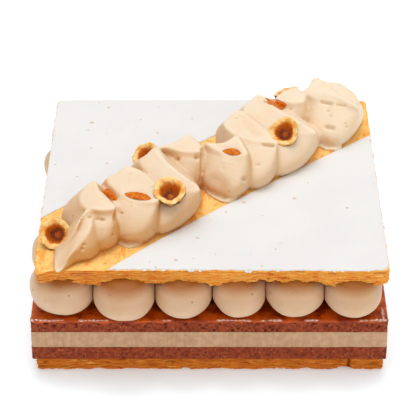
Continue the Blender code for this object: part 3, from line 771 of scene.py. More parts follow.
def piped_ball(name, row, column, material):
    """Make one ball, pressed flat where a neighbour, the glaze or the lid meets it."""
    centre, low, high = ball_reach(row, column)
    seed = row * BALL_SEED_STEPS[0] + column * BALL_SEED_STEPS[1]
    ball = bmesh.new()
    bmesh.ops.create_uvsphere(ball, u_segments=BALL_SEGMENTS, v_segments=BALL_RINGS, radius=1.0)
    for vert in ball.verts:
        shape = plump_place(vert.co, seed)
        for axis in range(3):
            reach, pressed = high[axis] if shape[axis] > 0 else low[axis]
            value = abs(shape[axis]) * reach
            if pressed:
                value = soft_limit(value * BALL_OVERFILL, reach)
            shape[axis] = math.copysign(value, shape[axis])
        vert.co = (centre + shape) * MM
    mesh = bpy.data.meshes.new(name)
    ball.to_mesh(mesh)
    ball.free()
    piece = set_out(name, mesh, material)
    xs, _, zs = read_rows(mesh.vertices, "co", 3).T / MM
    # Painted shade kept on the points: browner under the lid, a little darker from the bottom up, and fainter
    # near the left side.
    brown = np.clip((zs - BALL_SHADE_FROM) / (BALL_SHADE_TO - BALL_SHADE_FROM), 0, 1) ** BALL_SHADE_POWER
    rising_shade = np.clip((zs - BALL_BOTTOM) / (BALL_SHADE_FROM - BALL_BOTTOM), 0, 1) ** 2 * BALL_RISING_SHADE
    covered = np.clip((xs - BALL_MEETINGS[0]) / BALL_SHADE_REACH, BALL_SHADE_LEAST, 1)
    note_on_points(piece, "shade", np.maximum(brown, rising_shade) * covered)
    return piece


# Whipped cream is smooth with a faint grain, a few specks of nut skin and burst bubbles.
whipped_cream, taken, given = new_group(
    "whipped_cream",
    {"Light": (0.9, 0.75, 0.55, 1), "Warm": (0.85, 0.6, 0.35, 1), "Deep": (0.7, 0.4, 0.2, 1),
     "Speck": (0.3, 0.1, 0.04, 1), "Shade": 0.0},
    {"Colour": "Color", "Roughness": "Float", "Height": "Float"})
tree = whipped_cream
cloud = waves(tree, 0.08, 0.08, 3.0)
grain = waves(tree, 2.0, 2.0, 3.0)
ripple = waves(tree, 0.35, 0.35, 3.0)
colour = mixed(tree, ramped(tree, cloud, 0.4, 0.7, 0.0, 0.5), taken["Light"], taken["Warm"])
# The cream is mixed towards its shadowed colour by painted shade kept on its points.
colour = mixed(tree, taken["Shade"], colour, taken["Deep"])
skins = specks(tree, 5.0, 0.62, 0.45, 1.0)
shown = ramped(tree, skins["Tone"], 0.0, 1.0, 0.25, 0.9)
colour = stained(tree, colour, skins["Mask"], shown, taken["Speck"])
freckles = specks(tree, 2.6, 0.3, 0.4, 4.0)["Mask"]
colour = stained(tree, colour, freckles, 0.22, taken["Speck"])
bubbles = specks(tree, 7.0, 0.9, 0.35, 9.0)["Mask"]
height = worked_out(tree, "ADD", times(tree, grain, 0.5), ripple)
height = worked_out(tree, "SUBTRACT", height, times(tree, bubbles, 0.8))
height = worked_out(tree, "SUBTRACT", height, times(tree, skins["Mask"], 0.5))
tree.links.new(colour, given["Colour"])
tree.links.new(ramped(tree, ripple, 0.3, 0.7, 0.55, 0.42), given["Roughness"])
tree.links.new(height, given["Height"])


def cream_material(name, light, warm, deep, speck, relief):
    """Return piped cream of some shades, mixed towards a shadowed colour by the painted shade kept on its
    points.
    """
    material, tree, shader = new_material(name, Subsurface_Weight=0.25, Subsurface_Scale=0.003,
                                          Subsurface_Radius=(1.0, 0.5, 0.25), Specular_IOR_Level=0.3)
    look = placed_group(tree, whipped_cream, Light=light, Warm=warm, Deep=deep, Speck=speck,
                        Shade=noted(tree, "shade"))
    finish_surface(tree, shader, look["Colour"], look["Roughness"], look["Height"], relief)
    return material


# The third colour is the colour of the painted shade under the lid.
ball_cream = cream_material("piped_ball_cream", (0.735, 0.505, 0.33, 1), (0.69, 0.44, 0.24, 1),
                            (0.38, 0.125, 0.014, 1), (0.16, 0.06, 0.03, 1), BALL_RELIEF)
for row in range(BALL_ROWS):
    for column in range(BALL_COLUMNS):
        node = f"cream_ball_{row + 1}_{column + 1}"
        if 0 < row < BALL_ROWS - 1 and 0 < column < BALL_COLUMNS - 1:
            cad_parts[node].data.materials.clear()
            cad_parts[node].data.materials.append(ball_cream)
            continue
        piece = piped_ball(f"piped_ball_{row + 1}_{column + 1}", row, column, ball_cream)
        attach(piece, "root")
        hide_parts(node)


# Pastry lid
# The top sheet of puff pastry, cut square and laid on the balls. Its leaves are looser than
# the base's, and its underside sags between the balls and hangs in flakes at the front.

LID_CENTRE = Vector((1.2, 0.7)) * MM
LID_HALF = 89.2 * MM
LID_CORNER = 3.0 * MM
LID_TOP = 60.05 * MM
LID_UNDER = 54.0 * MM
LID_LEAVES = 8
LID_SEED = 7.0
LID_BLISTER = 0.12 * MM
LID_SAG = 1.8 * MM
LID_SAG_LENGTH = 16.0 * MM
LID_FRINGE = 1.2 * MM
LID_FRINGE_LENGTH = 1.6 * MM
LID_WORN_REACH = 13.0 * MM
LID_WORN_DROP = 4.2 * MM
LID_FRONT = -80 * MM
LID_FRONT_WORN = 1.2 * MM
LID_FRONT_WORN_RUN = (-60 * MM, 60 * MM)
LID_FRONT_DENT = 0.8 * MM
# The underside of the lid's front edge from left to right: across the cake and up, in millimetres.
LID_FRONT_UNDER = ((-88.3, 52.7), (-81.7, 51.9), (-56.0, 50.4), (-43.0, 51.2), (-30.0, 51.6), (-15.0, 52.4),
                   (11.3, 49.9), (25.7, 54.9), (43.7, 51.9), (52.6, 53.9), (65.0, 49.9), (81.0, 50.4),
                   (90.5, 53.0))


def lid_top(x, y):
    """Return the height of the lid's blistered top at a place, sunk at the worn corner."""
    near = max(0.0, 1.0 - math.dist((x, y), (-LID_HALF, -LID_HALF)) / LID_WORN_REACH)
    blister = drift(x, y, 9 * MM, 1.0) + 0.5 * drift(x, y, 3 * MM, 2.0)
    return LID_TOP + blister * LID_BLISTER - near * near * LID_WORN_DROP


def lid_front_wear(x, y):
    """Return how far the front edge is worn back at a place, which is most at its left."""
    if y > LID_FRONT:
        return 0.0
    left = np.interp(x, LID_FRONT_WORN_RUN, (1.0, 0.0))
    return float(left) * LID_FRONT_WORN + max(0.0, drift(x, y, 12 * MM, 3.0)) * LID_FRONT_DENT


def lid_underside(x, y):
    """Return the height of the lid's underside at a place."""
    fringe = drift(x, y, LID_FRINGE_LENGTH, 5.0) * LID_FRINGE * (0.6 + drift(x, y, 7 * MM, 8.0))
    if y <= LID_FRONT:
        return float(np.interp((x + LID_CENTRE.x) / MM, *zip(*LID_FRONT_UNDER))) * MM + fringe
    sag = (drift(x, y, LID_SAG_LENGTH, 4.0) + 0.4 * drift(x, y, LID_SAG_LENGTH / 3, 3.0)) * LID_SAG
    return LID_UNDER + sag + fringe


lid_pastry = pastry_material("lid_pastry", (0.98, 0.60, 0.18, 1), (0.90, 0.33, 0.03, 1),
                             (0.66, 0.15, 0.006, 1))
piece = pastry_sheet("puff_pastry_lid", LID_CENTRE, LID_HALF, LID_CORNER, lid_underside, lid_top,
                     LID_LEAVES, LID_SEED, lid_front_wear, lid_pastry)
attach(piece, "root")
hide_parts("pastry_lid")


# Icing
# White icing spread thinly on two corners of the lid with a palette knife against a strip, so
# that its inner edge is nearly straight. Crumbs have left small dents in it.

ICING_THICK = 0.75 * MM
ICING_STEP = 1.2 * MM
ICING_INSET = 0.6 * MM
ICING_SINK = 0.3 * MM
# The border is chipped, and its square corners are rounded by a high power.
ICING_RAGGED = 0.35 * MM
ICING_RAGGED_LENGTH = 4.0 * MM
ICING_CHIP_LENGTH = 1.2 * MM
ICING_BORDER_STEP = 0.8 * MM
ICING_FRONT_REACH = 5.0 * MM
ICING_SQUARE = 36.0
# The inner edges in millimetres along and across the bare band, and how they were drawn.
ICING_FRONT_LINE = ((-106.0, 24.6), (-92.0, 22.6), (-57.0, 21.3), (-33.0, 21.3), (-9.0, 22.0), (17.0, 22.7),
                    (48.0, 23.7), (96.0, 26.3), (101.0, 26.6))
ICING_BACK_LINE = ((-92.0, -36.9), (-70.0, -36.8), (-30.0, -35.8), (27.0, -34.4), (60.0, -33.7),
                   (93.0, -33.4))
ICING_LINE_POINTS = 180
ICING_LINE_SMOOTHING = 6
ICING_LINE_WAVE = 0.35
ICING_LINE_LENGTH = 3.0
# The icing's edge from its foot up: how far in, in millimetres, and how far up.
ICING_EDGE = ((0.0, -0.12), (0.05, 0.35), (0.25, 0.75), (0.8, 1.0))
# How far the icing's top follows the lid, and how the knife has swept it.
ICING_FOLLOWS = 0.2
ICING_SWEEPS = ((0.08 * MM, 14 * MM, 5.0), (0.03 * MM, 4 * MM, 9.0))
ICING_SHARP_DEGREES = 80.0
ICING_RELIEF = 0.3 * MM
ROW_MIDDLE = (1.7, -1.9)
ROW_LEVEL = 60.3


def row_to_world(along, across, height=0.0):
    """Turn millimetres along and across the bare band and above the lid into a world place."""
    half_root = math.sqrt(0.5)
    x = ROW_MIDDLE[0] + (along + across) * half_root
    y = ROW_MIDDLE[1] + (along - across) * half_root
    return Vector((x, y, ROW_LEVEL + height)) * MM


def inner_edge(line, corner, reach):
    """List the places on the lid along the inner edge of one triangle of icing."""
    marks = np.array(line)
    alongs = np.linspace(marks[0, 0], marks[-1, 0], ICING_LINE_POINTS)
    acrosses = np.interp(alongs, marks[:, 0], marks[:, 1])
    for _ in range(ICING_LINE_SMOOTHING):
        acrosses[1:-1] = (acrosses[:-2] + acrosses[1:-1] + acrosses[2:]) / 3
    places = []
    for along, across in zip(alongs, acrosses):
        wave = noise.noise(Vector((along / ICING_LINE_LENGTH, corner * 4.0, 0.0))) * ICING_LINE_WAVE
        place = row_to_world(along, across + wave).xy - LID_CENTRE
        lowest = lid_front_wear(*place) + 2 * ICING_RAGGED - reach
        if max(abs(place.x), abs(place.y)) < reach and place.y > lowest:
            places.append(place)
    return places


def ragged_place(place, reach):
    """Return a place on the icing's border, worn with the lid, chipped and rounded at corners."""
    deep = drift(*place, ICING_RAGGED_LENGTH, 3.0) + 0.25 * drift(*place, ICING_CHIP_LENGTH, 6.0)
    worn = lid_front_wear(*place) if place.y < ICING_FRONT_REACH - reach else 0.0
    square = sum((abs(side) / reach) ** ICING_SQUARE for side in place) ** (1 / ICING_SQUARE)
    share = 1 - max(0.0, deep) * 2 * ICING_RAGGED / reach
    return place * (share / max(1.0, square)) + Vector((0.0, worn))


def icing_outline(line, corner):
    """Return the ragged outline of one triangle of icing and its three corners."""
    reach = LID_HALF - ICING_INSET
    inner = inner_edge(line, corner, reach)
    first, last = inner[0], inner[-1]
    ends = [Vector((first.x, -reach)), Vector((reach, -reach)), Vector((reach, last.y))]
    if corner < 0:
        ends = [Vector((-reach, first.y)), Vector((-reach, reach)), Vector((last.x, reach))]
    border = []
    for start, end in zip(ends, ends[1:]):
        count = int((end - start).length / ICING_BORDER_STEP)
        border.extend(start.lerp(end, i / count) for i in range(count))
    border.append(ends[-1])
    places = [ragged_place(place, reach) for place in border] + inner[::-1]
    outline = [tuple(place + LID_CENTRE) for place in places]
    if corner < 0:
        outline.reverse()
    return np.array(outline), [np.array(place + LID_CENTRE) for place in ends]


def moved_inward(outline, corners, distance):
    """Move the outline of a triangle inward, so that all its sides stay parallel."""
    sides = [math.dist(corners[i - 2], corners[i - 1]) for i in range(3)]
    middle = sum(corner * side for corner, side in zip(corners, sides)) / sum(sides)
    half_round = sum(sides) / 2
    inradius = math.sqrt(math.prod(half_round - side for side in sides) / half_round)
    return middle + (outline - middle) * (1 - distance / inradius)


def icing_height(x, y):
    """Return the height of the icing at a place."""
    swept = sum(drift(x, y, length, seed) * size for size, length, seed in ICING_SWEEPS)
    return lid_top(x, y) * ICING_FOLLOWS + LID_TOP * (1 - ICING_FOLLOWS) + ICING_THICK + swept


def icing_material():
    """Return matt white icing with small dents that show the pastry's crumbs."""
    material, tree, shader = new_material("white_icing_skin", Subsurface_Weight=0.15,
                                          Subsurface_Scale=0.002, Specular_IOR_Level=0.35)
    cloud = waves(tree, 0.03, 0.03, 3.0)
    grain = waves(tree, 1.2, 1.2, 4.0)
    colour = mixed(tree, ramped(tree, cloud, 0.35, 0.65), (0.815, 0.808, 0.80, 1), (0.79, 0.785, 0.78, 1))
    dents = specks(tree, 12.0, 1.0, 0.2, 2.0)
    shown = ramped(tree, dents["Tone"], 0.0, 1.0, 0.1, 0.55)
    colour = stained(tree, colour, dents["Mask"], shown, (0.72, 0.50, 0.38, 1))
    crumbs = specks(tree, 5.0, 0.5, 0.13, 6.0)["Mask"]
    colour = stained(tree, colour, crumbs, 0.35, (0.78, 0.55, 0.38, 1))
    height = worked_out(tree, "SUBTRACT", times(tree, grain, 0.12), dents["Mask"])
    finish_surface(tree, shader, colour, ramped(tree, grain, 0.3, 0.7, 0.62, 0.5), height, ICING_RELIEF)
    return material


white_icing = icing_material()
for name, line, corner in (("icing_front", ICING_FRONT_LINE, 1), ("icing_back", ICING_BACK_LINE, -1)):
    outline, corners = icing_outline(line, corner)
    rings = []
    for inset, rise in ICING_EDGE:
        ring = moved_inward(outline, corners, inset * MM)
        rings.append([(x, y, lid_top(x, y) + (icing_height(x, y) - lid_top(x, y)) * rise) for x, y in ring])
    verts, faces = closed_sheet(rings, LAYER_CAP_STEP, ICING_STEP, lambda x, y: LID_TOP - ICING_SINK,
                                icing_height)
    piece = new_piece(name + "_skin", verts, faces, white_icing, ICING_SHARP_DEGREES)
    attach(piece, "root")
    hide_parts(name)


# Crumbs and flakes
# Toasted crumbs stuck in the icing, chips of icing at its front edge, and thin flakes of dough
# that came loose on the bare band and hang at the sides of both sheets of pastry.

CRUMBS = (
    (-62.9, 85.2), (-57.6, 79.6), (-9.7, 66.6), (-66.1, 61.9), (-67.8, 53.5), (-57.1, 49.2),
    (-28.9, 50.2), (-64.9, 33.1), (-55.6, 16.5), (-71.0, 2.7), (-83.5, 15.4), (-29.1, 80.3),
    (-38.9, 65.3), (-85.9, 47.0), (52.9, -4.0), (44.8, -20.0), (27.6, -37.1), (18.1, -23.8),
    (8.7, -33.4), (0.8, -41.2), (33.5, -68.8), (20.8, -74.3), (3.1, -73.8), (72.1, -29.3), (89.2, 41.6),
    (-6.1, -58.7), (-26.6, -85.6), (-7.9, -77.8), (-16.8, -79.1), (-29.7, -80.9), (26.3, -84.5))
CRUMB_SIZE = (0.8, 0.55, 0.28)
CHIP_COUNT = 18
CHIP_SIZE = (0.8, 0.5, 0.28)
CHIP_RUN = (-50.0, 84.0)
# Where the flakes lie along and across the bare band, which is mostly at its two edges.
FLAKE_COUNT = 70
FLAKE_SIZE = (1.5, 0.8, 0.14)
FLAKE_RUN = (-112.0, 104.0)
FLAKE_STRIPS = ((19.0, 24.5), (-36.0, -31.0), (-36.0, 24.0))
FLAKE_CLEARANCE = 1.5
FLAKE_LIFT = 0.12
# Between which heights flakes hang at the sides of each sheet, how far out, and round which middle.
HANGING_COUNT = 230
HANGING_SIZE = (2.3, 0.7, 0.24)
HANGING_RUN = 0.96
HANGING_PLACES = ((53.0, 59.6, 89.0, LID_CENTRE / MM), (0.8, 7.6, 88.6, BASE_CENTRE / MM))
HANGING_SIDE_INSET = 0.8

dice = random.Random(4)
icing_level = (LID_TOP + ICING_THICK) / MM
bits = [((x, y, icing_level), varied(CRUMB_SIZE, dice), dice.uniform(-0.6, 0.6), 0.0) for x, y in CRUMBS]
toasted_crumb, _, _ = new_material("toasted_crumb", Base_Color=(0.74, 0.57, 0.45, 1), Roughness=0.8)
scattered_bits("icing_crumbs", bits, toasted_crumb)

bits = []
for _ in range(CHIP_COUNT):
    x = dice.uniform(*CHIP_RUN)
    y = (LID_CENTRE.y - LID_HALF + lid_front_wear(x * MM, -LID_HALF)) / MM + dice.uniform(-0.2, 0.7)
    place = (x, y, icing_level - dice.uniform(0.2, 1.1))
    bits.append((place, varied(CHIP_SIZE, dice), dice.uniform(-0.4, 0.4), 0.3))
scattered_bits("icing_chips", bits, white_icing)

bits = []
for _ in range(FLAKE_COUNT):
    along = dice.uniform(*FLAKE_RUN)
    across = dice.choice([dice.uniform(*strip) for strip in FLAKE_STRIPS])
    place = row_to_world(along, across) / MM
    from_middle = place.xy - LID_CENTRE / MM
    if max(abs(from_middle.x), abs(from_middle.y)) < LID_HALF / MM - FLAKE_CLEARANCE:
        place.z = lid_top(place.x * MM, place.y * MM) / MM + FLAKE_LIFT
        bits.append((place, varied(FLAKE_SIZE, dice), dice.uniform(0, math.pi), dice.uniform(0.02, 0.3)))
scattered_bits("band_flakes", bits, lid_pastry)

bits = []
for _ in range(HANGING_COUNT):
    along = dice.uniform(-HANGING_RUN, HANGING_RUN)
    side = dice.randrange(4)
    low, high, half, centre = dice.choice(HANGING_PLACES)
    level = dice.uniform(low, high)
    out = half - dice.uniform(0.2, 1.2) - (HANGING_SIDE_INSET if side else 0.0)
    turn = side * math.pi / 2
    spot = Vector((along * half, -out))
    if side == 0 and level > BALL_BOTTOM:
        spot.y += lid_front_wear(spot.x * MM, -LID_HALF) / MM
    spot = Matrix.Rotation(turn, 2) @ spot + Vector(centre)
    bits.append(((*spot, level), varied(HANGING_SIZE, dice), turn, dice.uniform(-0.5, 0.35)))
scattered_bits("side_flakes", bits, lid_pastry)


# Ruffle
# Nut cream piped along the bare band with a slotted nozzle that was swung from side to side,
# so that it fell in folds with sharp lips. It starts at the back right and ends in a tail.

RUFFLE_VOXEL = 0.7 * MM
RUFFLE_SINK = 0.9
RUFFLE_SMOOTHING = 3
FOOT_TUCK = 0.12
BELLY_LOW = 0.8
WALL_STEPS = 16
OUTLINE_STEPS = 14
# How far in the rings of a fold's top lie, as shares of its outline, and how dished they are.
TOP_STEPS = ((0.97, 0.05), (0.9, 0.19), (0.8, 0.36), (0.65, 0.58), (0.45, 0.8), (0.25, 0.94), (0.06, 1.0))

# Each fold in millimetres along the band, across it and above the lid: eight places round its
# top from the peak at its back left, then eight places round its foot. Then come the bulge of
# its wall, how upright the wall stands and the depth of the dish in its top.
FOLDS = (
    (((-85.7, -3.9, 18.3), (-92.8, -1.2, 17.0), (-98.8, 0.8, 13.5), (-105.3, 1.8, 8.0),
      (-114.3, 6.0, 1.0), (-108.1, 7.2, 5.8), (-96.2, 6.8, 12.0), (-87.1, 1.8, 15.8)),
     ((-79.9, -8.9), (-87.0, -13.3), (-97.3, -11.6), (-107.6, -4.8), (-116.8, 7.7),
      (-104.5, 8.0), (-95.0, 11.6), (-84.1, 5.6)),
     0.12, 1.9, 0),
    (((-66.5, -19.0, 20.9), (-72.5, -19.2, 20.0), (-79.9, -16.1, 18.5), (-84.6, -7.4, 17.8),
      (-81.6, -0.1, 18.2), (-73.9, 5.3, 18.8), (-71.7, -2.6, 19.6), (-71.0, -10.9, 20.2)),
     ((-57.7, -28.2), (-65.9, -30.8), (-76.7, -30.4), (-86.6, -23.8), (-97.1, -3.4),
      (-90.1, 10.7), (-76.7, 10.3), (-58.7, -9.6)),
     0.09, 1.9, -0.4),
    (((-43.0, -19.0, 19.5), (-50.6, -19.7, 18.6), (-58.5, -18.8, 17.8), (-62.7, -4.3, 17.4),
      (-60.5, 6.8, 17.0), (-53.1, 14.1, 17.6), (-44.8, 6.6, 18.0), (-40.2, -8.7, 18.6)),
     ((-36.0, -25.2), (-45.9, -29.3), (-57.2, -26.3), (-78.0, 1.1), (-78.1, 10.3),
      (-71.2, 19.2), (-58.7, 19.0), (-39.8, 1.0)),
     0.08, 1.9, -0.5),
    (((-20.4, -20.8, 21.0), (-27.8, -21.1, 19.8), (-34.9, -19.3, 18.0), (-39.7, -4.8, 17.0),
      (-45.1, 8.4, 16.5), (-38.1, 16.6, 17.0), (-30.7, 21.5, 18.0), (-27.8, -4.0, 20.0)),
     ((-10.7, -29.4), (-20.4, -31.7), (-32.2, -30.1), (-49.0, 0.1), (-59.3, 18.4),
      (-48.7, 22.9), (-30.5, 18.7), (-15.1, 5.8)),
     0.08, 1.9, -1),
    (((1.0, -20.3, 20.5), (-7.5, -19.2, 20.4), (-18.5, -20.8, 20.4), (-14.0, -16.0, 19.3),
      (-10.2, -9.7, 18.5), (-4.6, -5.1, 18.5), (-0.3, -7.6, 19.0), (0.7, -13.9, 20.0)),
     ((12.9, -28.7), (2.1, -30.2), (-8.5, -31.7), (-18.5, -12.0), (-20.4, 0.6),
      (-10.8, 1.4), (0.2, -5.1), (13.7, -18.7)),
     0.06, 1.7, -0.5),
    (((18.1, 0.3, 21.2), (8.8, -0.1, 20.5), (2.3, -8.0, 19.6), (2.8, -1.7, 18.6),
      (3.9, 6.9, 17.8), (8.2, 14.6, 18.3), (11.4, 14.6, 19.3), (14.6, 7.8, 20.4)),
     ((29.1, -7.8), (19.9, -12.5), (6.1, -14.1), (-7.4, -3.1), (-10.6, 11.0),
      (-6.0, 22.7), (9.1, 19.9), (25.6, 5.4)),
     0.1, 1.9, -0.3),
    (((39.1, -17.4, 21.5), (31.4, -17.8, 20.8), (22.8, -14.3, 20.0), (20.3, -1.7, 19.6),
      (24.4, 9.3, 19.2), (31.3, 18.5, 19.2), (35.8, 8.0, 20.0), (37.4, -7.0, 20.8)),
     ((50.6, -24.0), (42.6, -27.2), (28.4, -25.6), (12.3, -1.9), (5.7, 19.4),
      (14.3, 25.9), (32.9, 18.7), (50.2, 2.4)),
     0.09, 1.9, -0.7),
    (((59.5, -21.7, 22.0), (53.3, -23.1, 20.4), (44.3, -20.1, 18.6), (38.6, -5.0, 17.4),
      (35.4, 10.0, 16.6), (49.0, 17.9, 16.8), (55.9, 22.9, 18.0), (54.9, 0.4, 20.6)),
     ((71.0, -29.6), (62.9, -32.8), (49.9, -29.6), (32.2, -0.2), (25.2, 21.4),
      (37.4, 26.9), (56.9, 21.5), (72.8, 9.3)),
     0.08, 1.9, -0.9),
    (((81.6, -15.2, 20.5), (74.5, -17.9, 19.8), (66.4, -17.1, 18.5), (67.8, -11.5, 18.2),
      (70.9, -6.9, 18.0), (74.9, -3.8, 18.3), (79.0, -5.7, 19.0), (80.7, -10.4, 20.0)),
     ((90.3, -22.0), (82.5, -24.8), (72.6, -26.4), (61.6, -11.4), (62.2, -1.3),
      (73.5, 0.4), (85.2, -7.3), (96.5, -19.1)),
     0.07, 1.8, -0.5),
    (((94.8, -11.6, 23.4), (87.2, -10.3, 22.0), (80.6, -8.0, 20.0), (83.0, 0.8, 18.8),
      (86.2, 9.2, 18.0), (89.5, 15.4, 18.2), (91.2, 23.5, 18.4), (92.7, 8.4, 21.0)),
     ((107.5, -18.3), (100.7, -19.9), (89.3, -18.0), (70.1, 5.8), (69.4, 16.9),
      (74.9, 25.3), (93.2, 20.9), (111.5, 7.5)),
     0.1, 2, -1),
    (((102.6, -1.1, 20.5), (98.3, -4.9, 21.6), (94.7, -8.5, 22.4), (94.3, 4.8, 20.6),
      (94.6, 15.8, 18.4), (95.4, 18.4, 17.8), (100.0, 13.6, 18.0), (102.6, 7.2, 19.0)),
     ((113.7, -7.0), (110.2, -12.2), (103.9, -15.1), (88.0, 5.3), (84.7, 18.0),
      (93.3, 18.6), (107.4, 10.0), (115.6, 1.7)),
     0.08, 1.8, -0.8),
    (((-71.4, 10.5, 1.3), (-73.4, 5.9, 1.3), (-75.8, 4.8, 1.0), (-77.2, 8.5, 0.9),
      (-76.5, 13.8, 0.9), (-74.4, 16.7, 0.9), (-69.2, 18.5, 0.9), (-68.5, 14.1, 1.0)),
     ((-69.4, 8.3), (-72.1, 3.0), (-75.5, 2.9), (-78.2, 8.1), (-78.0, 14.7),
      (-75.1, 18.2), (-67.9, 19.8), (-65.3, 13.7)),
     0, 1, 0),
    (((-3.2, 5.1, 1.4), (-2.2, -1.2, 1.4), (-6.2, -0.9, 1.4), (-10.1, 5.2, 1.3),
      (-11.8, 12.9, 1.3), (-10.2, 20.2, 1.3), (-3.6, 21.8, 1.3), (1.0, 13.6, 1.4)),
     ((-0.8, 2.7), (-1.3, -3.6), (-6.8, -2.6), (-10.4, 3.3), (-12.4, 12.8),
      (-11.4, 21.6), (-2.9, 23.7), (4.2, 13.5)),
     0, 1, 0),
    (((75.3, 15.3, 1.4), (73.0, 9.8, 1.4), (68.6, 10.1, 1.4), (67.4, 14.2, 1.3),
      (68.0, 19.5, 1.3), (69.9, 23.8, 1.3), (74.3, 25.8, 1.3), (78.3, 19.9, 1.4)),
     ((78.0, 12.9), (75.3, 6.3), (69.8, 7.2), (66.9, 13.2), (67.1, 19.7),
      (69.7, 24.7), (75.3, 26.7), (82.2, 18.8)),
     0, 1, 0),
)


def flowing_outline(corners):
    """Return places along a smooth closed curve through some corners."""
    corners = np.array(corners, float)
    before, after, beyond = (np.roll(corners, shift, axis=0) for shift in (1, -1, -2))
    places = []
    for a, b, c, d in zip(before, corners, after, beyond):
        for step in range(OUTLINE_STEPS):
            x = step / OUTLINE_STEPS
            places.append(0.5 * (2 * b + (c - a) * x + (2 * a - 5 * b + 4 * c - d) * x ** 2
                                 + (3 * b - 3 * c + d - a) * x ** 3))
    return np.array(places)


def fold_rings(fold):
    """Return the rings of one fold, from its foot up over its lip into its top."""
    top_corners, foot_corners, belly, upright, dip = fold
    top = flowing_outline(top_corners)
    foot = flowing_outline([(along, across, 0.0) for along, across in foot_corners])
    top_middle = top.mean(axis=0)
    rings = []
    for step in range(WALL_STEPS + 1):
        rise = step / WALL_STEPS
        ring = foot + (top - foot) * rise ** upright
        middle = ring.mean(axis=0)
        swell = 1.0 + belly * math.sin(math.pi * rise ** BELLY_LOW) - FOOT_TUCK * (1.0 - rise) ** 3
        ring[:, :2] = middle[:2] + (ring[:, :2] - middle[:2]) * swell
        ring[:, 2] = top[:, 2] * rise if step else -RUFFLE_SINK
        rings.append(ring)
    for close, dished in TOP_STEPS:
        ring = top_middle + (top - top_middle) * close
        ring[:, 2] -= dished * dip
        rings.append(ring)
    return [[row_to_world(*place) for place in ring] for ring in rings]


def fused_folds():
    """Fuse all folds into one skin of even small faces and return its mesh."""
    bm = bmesh.new()
    for fold in FOLDS:
        rows = [[bm.verts.new(point) for point in ring] for ring in fold_rings(fold)]
        count = len(rows[0])
        for lower, upper in zip(rows, rows[1:]):
            for i in range(count):
                j = (i + 1) % count
                bm.faces.new((lower[i], lower[j], upper[j], upper[i]))
        bm.faces.new(rows[0][::-1])
        bm.faces.new(rows[-1])
    bmesh.ops.remove_doubles(bm, verts=bm.verts, dist=0.001 * MM)
    mesh = bpy.data.meshes.new("folds")
    bm.to_mesh(mesh)
    bm.free()
    folds = bpy.data.objects.new("folds", mesh)
    bpy.context.scene.collection.objects.link(folds)
    remesh = folds.modifiers.new("skin", "REMESH")
    remesh.mode = "VOXEL"
    remesh.voxel_size = RUFFLE_VOXEL
    remesh.use_smooth_shade = True
    graph = bpy.context.evaluated_depsgraph_get()
    skin = bpy.data.meshes.new_from_object(folds.evaluated_get(graph))
    bpy.data.objects.remove(folds)
    return skin


def smoothed(points, edges, turns, share):
    """Draw each point towards the middle of its neighbours some times."""
    here = np.concatenate([edges[:, 0], edges[:, 1]])
    there = np.concatenate([edges[:, 1], edges[:, 0]])
    count = np.bincount(here, minlength=len(points))[:, None]
    for _ in range(turns):
        total = np.stack([np.bincount(here, points[there, axis], len(points)) for axis in range(3)], axis=1)
        points = points + (total / count - points) * share
    return points


def set_points(mesh, points):
    """Move the points of a mesh to new places."""
    mesh.vertices.foreach_set("co", points.ravel())
    mesh.update()


# Lines of the ruffle's lips, from the top of each to its end, in millimetres along the band,
# across it and above the lid. Each is raised a little and undercut.
LIPS = (
    (0.45, 0.9, ((-85.0, -3.9, 17.7), (-83.4, -2.6, 17.8), (-82.1, -0.4, 18.0), (-79.5, 2.8, 18.0),
                (-76.2, 5.1, 18.2), (-69.1, -0.1, 13.9))),
    (0.5, 0.0, ((-68.2, -16.4, 20.5), (-70.4, -12.4, 20.2), (-70.8, -9.0, 19.5), (-69.0, -5.8, 16.4),
                (-67.7, -3.5, 14.5), (-68.7, -0.6, 14.1))),
    (0.6, 0.3, ((-62.6, -3.2, 17.3), (-62.2, -1.9, 17.4), (-61.8, 2.2, 17.1), (-60.5, 6.8, 16.9),
                (-57.7, 12.0, 16.9), (-53.6, 14.3, 17.0))),
    (0.6, 0.0, ((-23.2, -18.6, 20.8), (-25.6, -14.9, 20.6), (-27.3, -9.7, 20.4), (-28.0, -4.1, 19.9),
                (-28.7, 2.5, 19.4), (-29.5, 9.3, 18.9), (-30.2, 15.9, 18.4), (-30.9, 20.7, 17.8))),
    (0.5, 0.8, ((-18.4, -20.2, 19.7), (-16.7, -18.9, 19.5), (-14.0, -15.6, 18.8), (-11.8, -11.8, 18.5),
                (-8.8, -8.1, 18.3), (-5.4, -5.4, 18.3))),
    (0.5, 0.4, ((2.1, -7.0, 18.9), (2.3, -3.8, 18.5), (3.0, 2.2, 18.1), (4.2, 7.4, 17.8),
                (6.7, 13.4, 17.9), (9.5, 14.8, 18.7))),
    (0.3, 0.0, ((16.9, 1.6, 21.0), (15.6, 4.8, 20.6), (13.2, 9.7, 19.9), (11.4, 14.0, 19.1))),
    (0.4, 0.3, ((19.7, 1.2, 19.7), (21.4, 3.3, 19.2), (24.1, 9.5, 19.0), (26.7, 14.5, 18.9),
                (30.2, 18.1, 19.0))),
    (0.5, 0.0, ((58.1, -19.3, 21.8), (56.2, -15.5, 21.5), (54.9, -10.9, 21.2), (54.2, -5.7, 21.0),
                (54.3, 1.0, 20.4), (56.0, 7.6, 19.2), (60.7, 11.6, 15.5), (64.0, 13.9, 12.3))),
    (0.4, 0.5, ((67.5, -12.0, 17.9), (68.5, -10.0, 17.9), (71.3, -6.5, 17.9), (73.9, -4.4, 18.1))),
    (0.35, 0.3, ((80.8, -5.5, 19.0), (83.3, 2.4, 18.5), (86.0, 9.3, 17.9), (88.8, 14.9, 18.1),
                (90.8, 21.2, 18.5), (99.2, 17.6, 12.9))),
)
LIP_REACH = 3.0
UNDERCUT_REACH = 4.5
UNDERCUT_DROP = 4.0

